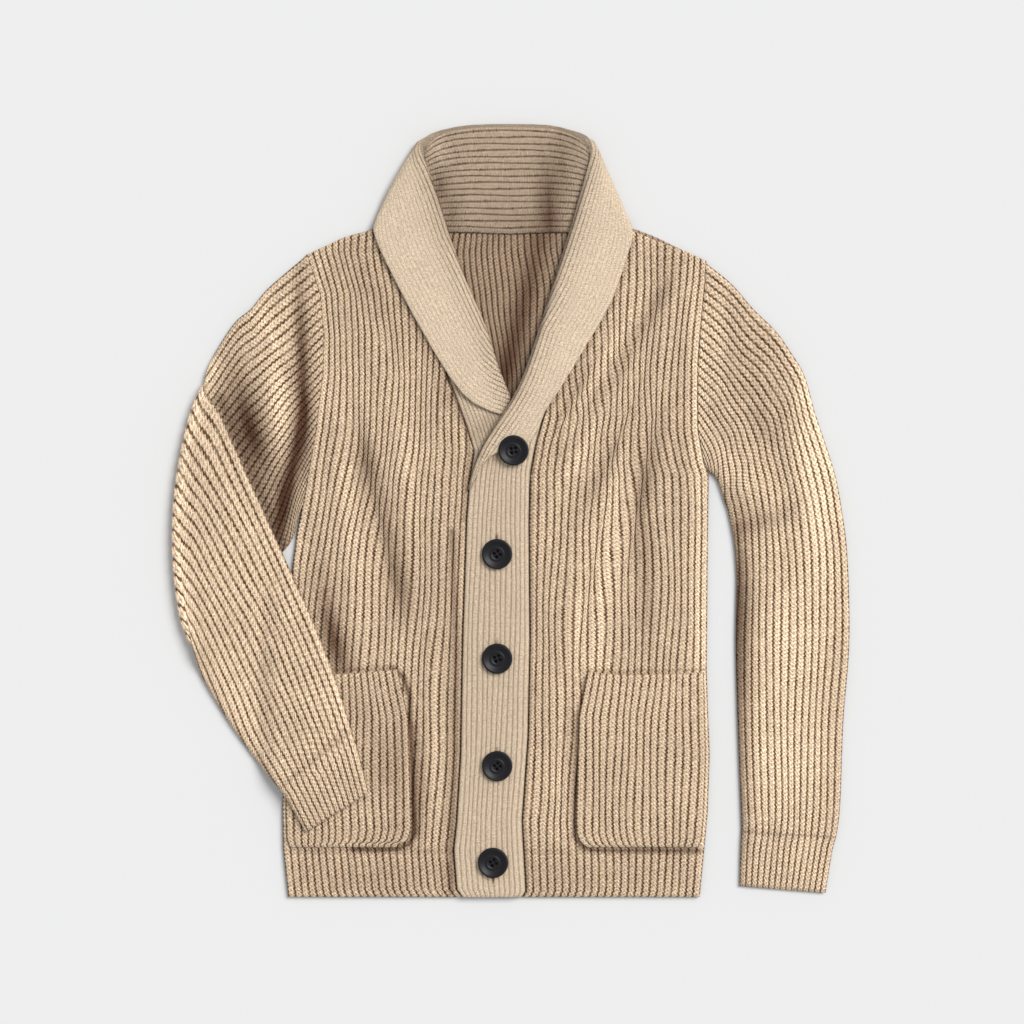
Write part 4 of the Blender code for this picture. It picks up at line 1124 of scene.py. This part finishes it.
def add_sleeve(name, middle_of, shade_at, most_ribs, steps_of_faces):
    """The tube's two faces stand off its middle surface; together they are one ring in each row."""
    faces = []
    for side, steps in zip((1.0, -1.0), steps_of_faces):
        numbers = rib_columns(most_ribs, steps)
        middle, normal, places = middle_of(numbers)
        x, y, up = middle[:, :, 0], middle[:, :, 1], normal[:, :, 2] * side
        width = np.linalg.norm(middle[:, -1] - middle[:, 0], axis=1)[:, None]
        full = rounded(np.minimum(places, 1.0 - places) * width, TUBE_ROUND)
        step = np.linalg.norm(np.diff(middle, axis=0), axis=2).mean(axis=1)
        travelled = np.concatenate([[0.0], np.cumsum(step)])[:, None]
        left_over = travelled[-1] - travelled
        ribs = RIB_RISE * rib_height(numbers)[None] * smooth(0.35 + 1.5 * up)
        away = TUBE_HALF + ribs - groove_at(left_over - CUFF_LENGTH)
        away = away * (END_THIN + (1.0 - END_THIN) * rounded(left_over, EDGE_ROUND))
        seen = smooth(3.0 * up) * smooth(left_over / CROWN_FADE)
        puff = CROWN * np.sqrt(4.0 * places * (1.0 - places)) * smooth(travelled / CROWN_FADE)
        away = (away + (puff + np.maximum(fold_height(SLEEVE_FOLDS, x, y), -puff)) * seen) * full
        # painted shade and light of the sleeve, and the line of painted shade where the cuff begins
        shade = shade_at(x, y, side) * (1.0 - groove_at(left_over - CUFF_LENGTH, CUFF_SHADE))
        faces.append((middle + normal * away[:, :, None] * side, shade, numbers, travelled))
    top, below = faces
    ring, shade = (np.concatenate([top[part], below[part][:, -2:0:-1]], axis=1) for part in (0, 1))
    ribs = np.concatenate([top[2], 2 * most_ribs - below[2][-2:0:-1]])
    middle, normal, _ = middle_of(np.linspace(INNER_INSET, 1.0 - INNER_INSET, INNER_COLUMNS) * most_ribs)
    walls = [middle + normal * (GAP / 2.0) * side for side in (1.0, -1.0)]
    inner = np.concatenate([walls[0], walls[1][:, ::-1]], axis=1)
    piece = add_shell(name, ring, inner, ribs, top[3] / STITCH, body_wool, shade=shade, tube=True)
    return close_ends(piece)


add_sleeve("knit_sleeve_left", straight_middle, straight_shade, 22, (RIB_STEPS, UNDER_STEPS))
add_sleeve("knit_sleeve_right", folded_middle, folded_shade, 28, (RIB_STEPS, RIB_STEPS))

# %% [markdown]
# ## The shawl collar
#
# The collar is one long strip that is sewn round the neck, stands up a little and falls over. Each row
# of the table is a station along the strip: where its seam, its roll and its free edge are. Across a
# station the strip goes straight from the seam to the roll, half a turn round, and straight to the free
# edge. On a lapel the fall lies on top; behind the neck it lies underneath and the stand shows.

# %% Table of the collar
# One row for each station, from the wearer's right lapel round the neck to the left one: neck seam x and
# y, roll x and y, free edge x and y, turn of the roll, heights at the seam, roll and edge, roll radius.
COLLAR = (
    (-9, 104, 1, 107, -6, 95, 90, 4.6, 5.8, 7, 1.2),
    (-39, 136, -14, 144, -38, 108, 90, 4.7, 7.08, 8.38, 2.14),
    (-64, 164, -27, 185, -62, 134, 90, 4.8, 8.42, 9.52, 3.06),
    (-68, 217, -47, 231, -97, 193, 90, 4.8, 9.2, 10, 3.6),
    (-84, 262, -63, 276, -127, 251, 85, 4.8, 9.3, 10, 3.6),
    (-95, 288, -75, 315, -137, 275, 62, 4.8, 9.6, 10, 3.6),
    (-99, 290, -84.5, 342, -138.5, 283, 38, 4.8, 9.6, 9.5, 4.4),
    (-100, 288, -92, 361, -136, 291, 8, 4.2, 9.2, 6.3, 5.2),
    (-94, 281, -87, 373, -128, 296, -38, 3.9, 7.6, 2.5, 4.6),
    (-76, 279, -70, 381, -98, 306, -80, 4, 5.2, 1.3, 3),
    (-44, 279, -42, 386, -54, 305, -90, 3.8, 4.9, 1.3, 2.8),
    (-3, 277.5, -3, 387, -3, 304, -90, 3.8, 4.9, 1.3, 2.8),
    (38, 279, 36, 386, 48, 305, -90, 3.8, 4.9, 1.3, 2.8),
    (71, 279, 58, 381, 84, 306, -85, 4, 5, 1.3, 2.8),
    (88, 281, 74.5, 374.5, 109, 295, -42, 3.9, 7.4, 2.5, 4.2),
    (93, 288, 80.5, 362, 117, 290, 5, 4.2, 9.2, 6.3, 4.6),
    (92, 290, 76.5, 344, 120.5, 281, 38, 4.8, 9.6, 9.5, 4),
    (88, 286, 69.5, 319, 120, 272, 62, 4.8, 9.6, 10, 3.6),
    (78, 262, 59, 283, 116, 258, 85, 4.8, 9.3, 10, 3.6),
    (58, 217, 43, 231, 99, 209, 90, 4.8, 9.2, 10, 3.6),
    (48, 171, 28, 183, 74, 166, 90, 5.6, 10, 10.8, 3.6),
    (37, 133, 13, 138, 50, 126, 90, 9, 13.4, 13.8, 3.6),
    (24, 108, -1, 109, 33, 100, 90, 9.7, 13.4, 10.6, 3.2),
    (4, 84, -17, 85, 19, 70, 90, 8.6, 12, 6.4, 2.7),
    (-20, 62, -30, 63, -8, 63, 90, 9, 12.2, 10.4, 2.4),
    (-33, 43, -38.5, 41, -30, 47.5, 90, 9.3, 11.2, 11.6, 1.7),
    (-40, 26, -43, 22, -38.5, 28, 90, 9.2, 10.2, 10.2, 0.9),
)

# %% The middle of the collar
SEAM_AT, ROLL_AT, EDGE_AT, TURN_AT, RADIUS_AT = [0, 1, 7], [2, 3, 8], [4, 5, 9], 6, 10   # columns
STATION_STEPS = 12
STAND_COLUMNS = 96
ROLL_COLUMNS = 9
FALL_COLUMNS = 72
BOWS = ((4, 0), (5, 0.5), (6, 2), (7, 3), (8, 3), (9, 0))


def collar_middle():
    """Middle surface of the collar, with a sideways bow of the fall at the first corner. Round the roll a
    point is at the middle plus radius times (sine of the bend over the roll, cosine of it outwards)."""
    row = through(COLLAR, STATION_STEPS)
    seam, edge, radius = row[:, SEAM_AT], row[:, EDGE_AT], row[:, RADIUS_AT, None]
    run = np.stack([np.gradient(row[:, 2]), np.gradient(row[:, 3]), np.zeros(len(row))], axis=1)
    run /= np.linalg.norm(run, axis=1, keepdims=True)
    turn = np.radians(row[:, TURN_AT])[:, None]
    outward = np.cos(turn) * [[0.0, 0.0, 1.0]] - np.sin(turn) * np.cross([0.0, 0.0, 1.0], run)
    over = np.cross(outward, run)
    middle = row[:, ROLL_AT] - outward * radius * [[1.0, 1.0, 0.0]]
    start, end = middle - over * radius, middle + over * radius
    stand_at = np.linspace(0.0, 1.0, STAND_COLUMNS)[None, :, None]
    fall_at = np.linspace(0.0, 1.0, FALL_COLUMNS)[None, :, None]
    bend = np.radians(np.linspace(-90.0, 90.0, ROLL_COLUMNS + 2)[1:-1])[None, :, None]
    stand = seam[:, None] + stand_at * (start - seam)[:, None]
    around = np.sin(bend) * over[:, None] + np.cos(bend) * outward[:, None]
    roll = middle[:, None] + radius[:, None] * around
    fall = end[:, None] + fall_at * (edge - end)[:, None]
    bow_at, bow_size = np.transpose(BOWS)
    bow = np.interp(np.arange(len(row)) / STATION_STEPS, bow_at, bow_size)[:, None, None]
    across = (edge - end) / np.linalg.norm(edge - end, axis=1, keepdims=True)
    sideways = np.stack([across[:, 1], -across[:, 0], 0.0 * across[:, 0]], axis=1)
    fall = fall + sideways[:, None] * (bow * 4.0 * fall_at * (1.0 - fall_at))
    return np.concatenate([stand, roll, fall], axis=1)


def surface_normals(grid):
    """Normal of a grid of points, on the side of the visible face of the knit."""
    normal = np.cross(np.gradient(grid, axis=1), np.gradient(grid, axis=0))
    return normal / np.linalg.norm(normal, axis=2, keepdims=True)


# %% The ribs of the collar
STAND_RIBS = 16.5
LEAST_STAND = 60.0    # a stand narrower than this has fewer ribs
STAND_WAVE = 0.08     # sideways drift of the stand's ribs, as a share of a rib
WAVE_LENGTH = 15.0
WAVE_TILT = 2.3
WAVE_START = 8.0
FALL_PITCH = 4.4      # width of a rib on the fall
FALL_FIRST = 40.0     # number of the fall's first rib, beyond all those of the stand
FIRST_CORNER = 4      # between these two stations the ribs are counted from the roll, which they follow
LAST_CORNER = 18
BEHIND_NECK = (10, 14)
LAST_COUNTED = 20     # beyond this station they are counted from the roll again


def stand_ribs(x, from_seam, stand_width):
    """The rib that each point of the stand is at, with a small wave along it."""
    ribs = STAND_RIBS * from_seam / np.maximum(stand_width, LEAST_STAND)
    return ribs + STAND_WAVE * np.sin(x / WAVE_LENGTH + WAVE_TILT * ribs) * smooth(from_seam / WAVE_START)


def fall_ribs(from_edge):
    """The rib that each point of the fall is at, counted from the free edge, or from the roll."""
    width = from_edge[:, STAND_COLUMNS + ROLL_COLUMNS]
    station = np.arange(len(width)) / STATION_STEPS
    left, right, last = width[np.array([FIRST_CORNER, LAST_CORNER, LAST_COUNTED]) * STATION_STEPS]
    kept = np.interp(station, (FIRST_CORNER, *BEHIND_NECK, LAST_CORNER), (left, left, right, right))
    narrowed = np.where((station >= FIRST_CORNER) & (station <= LAST_CORNER), kept - width, 0.0)
    narrowed = np.where(station > LAST_COUNTED, last - width, narrowed)[:, None]
    return FALL_FIRST + (from_edge + narrowed) / FALL_PITCH


# %% The strip of the collar
COLLAR_WALL = 1.8
FALL_STITCH = 2.6
RIM_ROUND = 2.0
FLAT_DEPTH = 0.26     # how deep the grooves of the fall are away from the roll
ROLL_DEPTH = 1.05     # and beside it
ROLL_RIBS = 34.0      # width beside the roll over which they flatten
# painted shade: the stand inside the neck keeps this share of the light, and so does the fall beside the
# roll, lightening over DIM_WIDTH beyond it. COLLAR_SHADES add painted shade, and painted light below 0.
STAND_SHADE = 0.72
DIM_WIDTH = 6.0
COLLAR_SHADES = (
    (-3, 288, 70, 14, 0, 0.14), (37, 302, 74, 13, 80, 0.72), (-70, 320, 32, 9, 108, 0.5),
    (-76, 358, 14, 9, 100, -0.22), (-10, 320, 60, 50, 0, 0.1), (-60, 278, 24, 10, 100, 0.18),
    (-60, 350, 40, 10, 75, 0.12),
)


def add_collar():
    """The strip with ribs along it, deep on the stand and beside the roll, and nearly flat on the fall."""
    middle = collar_middle()
    x, y = middle[:, :, 0], middle[:, :, 1]
    normal = surface_normals(middle)
    length = np.linalg.norm(np.diff(middle, axis=1), axis=2)
    from_seam = np.concatenate([np.zeros((len(middle), 1)), np.cumsum(length, axis=1)], axis=1)
    from_edge = from_seam[:, -1:] - from_seam
    stand_width = from_seam[:, STAND_COLUMNS - 1:STAND_COLUMNS]
    on_stand = np.arange(middle.shape[1])[None] < STAND_COLUMNS
    ribs = np.where(on_stand, stand_ribs(x, from_seam, stand_width), fall_ribs(from_edge))
    rim = EDGE_THIN + (1.0 - EDGE_THIN) * rounded(np.minimum(from_seam, from_edge), RIM_ROUND)
    from_roll = np.maximum(from_seam - stand_width, 0.0)
    near_roll = smooth(1.0 - from_roll / ROLL_RIBS)
    depth = np.where(on_stand, 1.0, FLAT_DEPTH + (ROLL_DEPTH - FLAT_DEPTH) * near_roll)
    raised = FINE_RISE * rib_height(ribs) * smooth(normal[:, :, 2] * 1.6 + 0.2) * depth
    # painted shade on the stand, and on the fall beside the roll
    dim = STAND_SHADE + (1.0 - STAND_SHADE) * smooth(from_roll / DIM_WIDTH)
    shade = np.where(on_stand, STAND_SHADE, dim) * shade_of(COLLAR_SHADES, x, y)
    step = np.linalg.norm(np.diff(middle, axis=0), axis=2)
    along = np.concatenate([np.zeros((1, middle.shape[1])), np.cumsum(step, axis=0)])
    outer = middle + normal * ((COLLAR_WALL / 2.0 + raised) * rim)[:, :, None]
    inner = middle - normal * (COLLAR_WALL / 2.0 * rim)[:, :, None]
    return add_shell(
        "knit_collar", outer, inner, ribs, along / FALL_STITCH, band_wool, every=(6, 5), shade=shade,
        depth=depth)


add_collar()

# %% [markdown]
# ## Buttons
#
# Each button is turned from black horn: a raised rim, a dished face, and four holes for the thread. The
# profile is carried round an axis as one grid, and the holes are sunk into the face of that grid.

# %% Horn
HORN_DARK = (0.004, 0.004, 0.005, 1.0)
HORN_LIGHT = (0.0088, 0.0088, 0.011, 1.0)
HORN_ROUGHNESS = 0.36


def build_horn():
    """A smooth hard finish whose colour is a little cloudy, with fine scratches in its roughness."""
    material, tree, shader = new_material("button_horn", {"Specular IOR Level": 0.22})
    place = add_node(tree, "TexCoord", {})["Object"]
    colour = add_mix(tree, add_noise(tree, place, 160.0, 3.0), HORN_DARK, HORN_LIGHT)
    tree.links.new(colour, shader.inputs["Base Color"])
    scratch = add_noise(tree, place, 700.0, 2.0)
    roughness = add_math(tree, "MULTIPLY_ADD", scratch, 0.12, HORN_ROUGHNESS)
    tree.links.new(roughness, shader.inputs["Roughness"])
    return material


horn = build_horn()
print("horn material:", horn.name)

# %% The buttons
# middle x and y, how far each is turned in degrees, and how far it is raised off the band's folds
BUTTONS = (
    (1.5, 61, 8, 1.9), (-15, -42.5, 35, 0), (-14.8, -147, 22, 0), (-14.8, -254.3, 40, 0),
    (-19, -351, 30, 0),
)
# distance from the axis and height, from the middle of the face round the rim to the middle of the back
BUTTON_PROFILE = (
    (0, 2.1), (1, 2.1), (2, 2.1), (3, 2.1), (4, 2.1), (5, 2.15), (5.7, 2.4), (6.3, 2.7), (7, 2.35),
    (8.4, 2.35), (10.4, 2.9), (12.2, 3.7), (13.3, 4.2), (14.2, 4.15), (14.9, 3.6), (15.2, 2.7),
    (14.9, 1.8), (14, 0.9), (11, 0), (0, 0),
)
PROFILE_STEPS = 4
BUTTON_SIDES = 80
HOLE_OFFSET = 2.9
HOLE_RADIUS = 1.45
HOLE_DEPTH = 2.4
HOLE_EDGE = 0.4       # width of the step down into a hole
FACE_HEIGHT = 2.1
THREAD_RISE = 0.55
THREAD_HALF = 0.45
THREAD_REACH = 2.4
THREAD_END = 0.8


def add_button(number, x, y, degrees, raised):
    """A turned profile whose points inside a hole are sunk: a soft step down at the hole's radius. Two
    strands of thread lie on the face, each of them exp(-(distance / half width)^2) high."""
    rows = through(BUTTON_PROFILE, PROFILE_STEPS)
    rows = rows[rows[:, 0] >= 0.0]
    angle = np.linspace(0.0, 2.0 * np.pi, BUTTON_SIDES, endpoint=False)
    across = rows[:, :1] * np.cos(angle)[None]
    up = rows[:, :1] * np.sin(angle)[None]
    height = np.repeat(rows[:, 1:], BUTTON_SIDES, axis=1)
    face = np.arange(len(rows))[:, None] < len(rows) // 2
    for bearing in np.radians(45.0 + 90.0 * np.arange(4) + degrees):
        near = np.hypot(across - HOLE_OFFSET * np.cos(bearing), up - HOLE_OFFSET * np.sin(bearing))
        height = height - face * HOLE_DEPTH * (1.0 - smooth((near - HOLE_RADIUS + 0.25) / HOLE_EDGE))
    lean = np.radians(degrees)
    along = across * np.cos(lean) + up * np.sin(lean)
    aside = np.abs(up * np.cos(lean) - across * np.sin(lean)) - HOLE_OFFSET * np.sin(np.radians(45.0))
    thread = np.exp(-((aside / THREAD_HALF) ** 2)) * smooth((THREAD_REACH - np.abs(along)) / THREAD_END)
    height = np.maximum(height, np.where(face, (FACE_HEIGHT + THREAD_RISE) * thread, 0.0))
    base = BAND_CREST + SEAM + raised + float(swell(np.array(x), np.array(y)))
    points = np.stack([x + across, y + up, base + height], axis=-1)
    index = np.arange(height.size).reshape(height.shape)
    index = np.concatenate([index, index[:, :1]], axis=1)
    rib_map = np.zeros((height.size, 2))
    return add_piece(f"horn_button_{number}", points.reshape(-1, 3), quads(index), rib_map, horn)


for number, row in enumerate(BUTTONS, 1):
    add_button(number, *row)

# %% [markdown]
# ## Ties to the solids
#
# Every dressed piece rides on the part's only body and stands for the plain solid of the same piece,
# which is hidden.

for node, piece in dressed.items():
    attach(piece, "root")
    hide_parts(node)
print(len(dressed), "pieces tied to the solids")
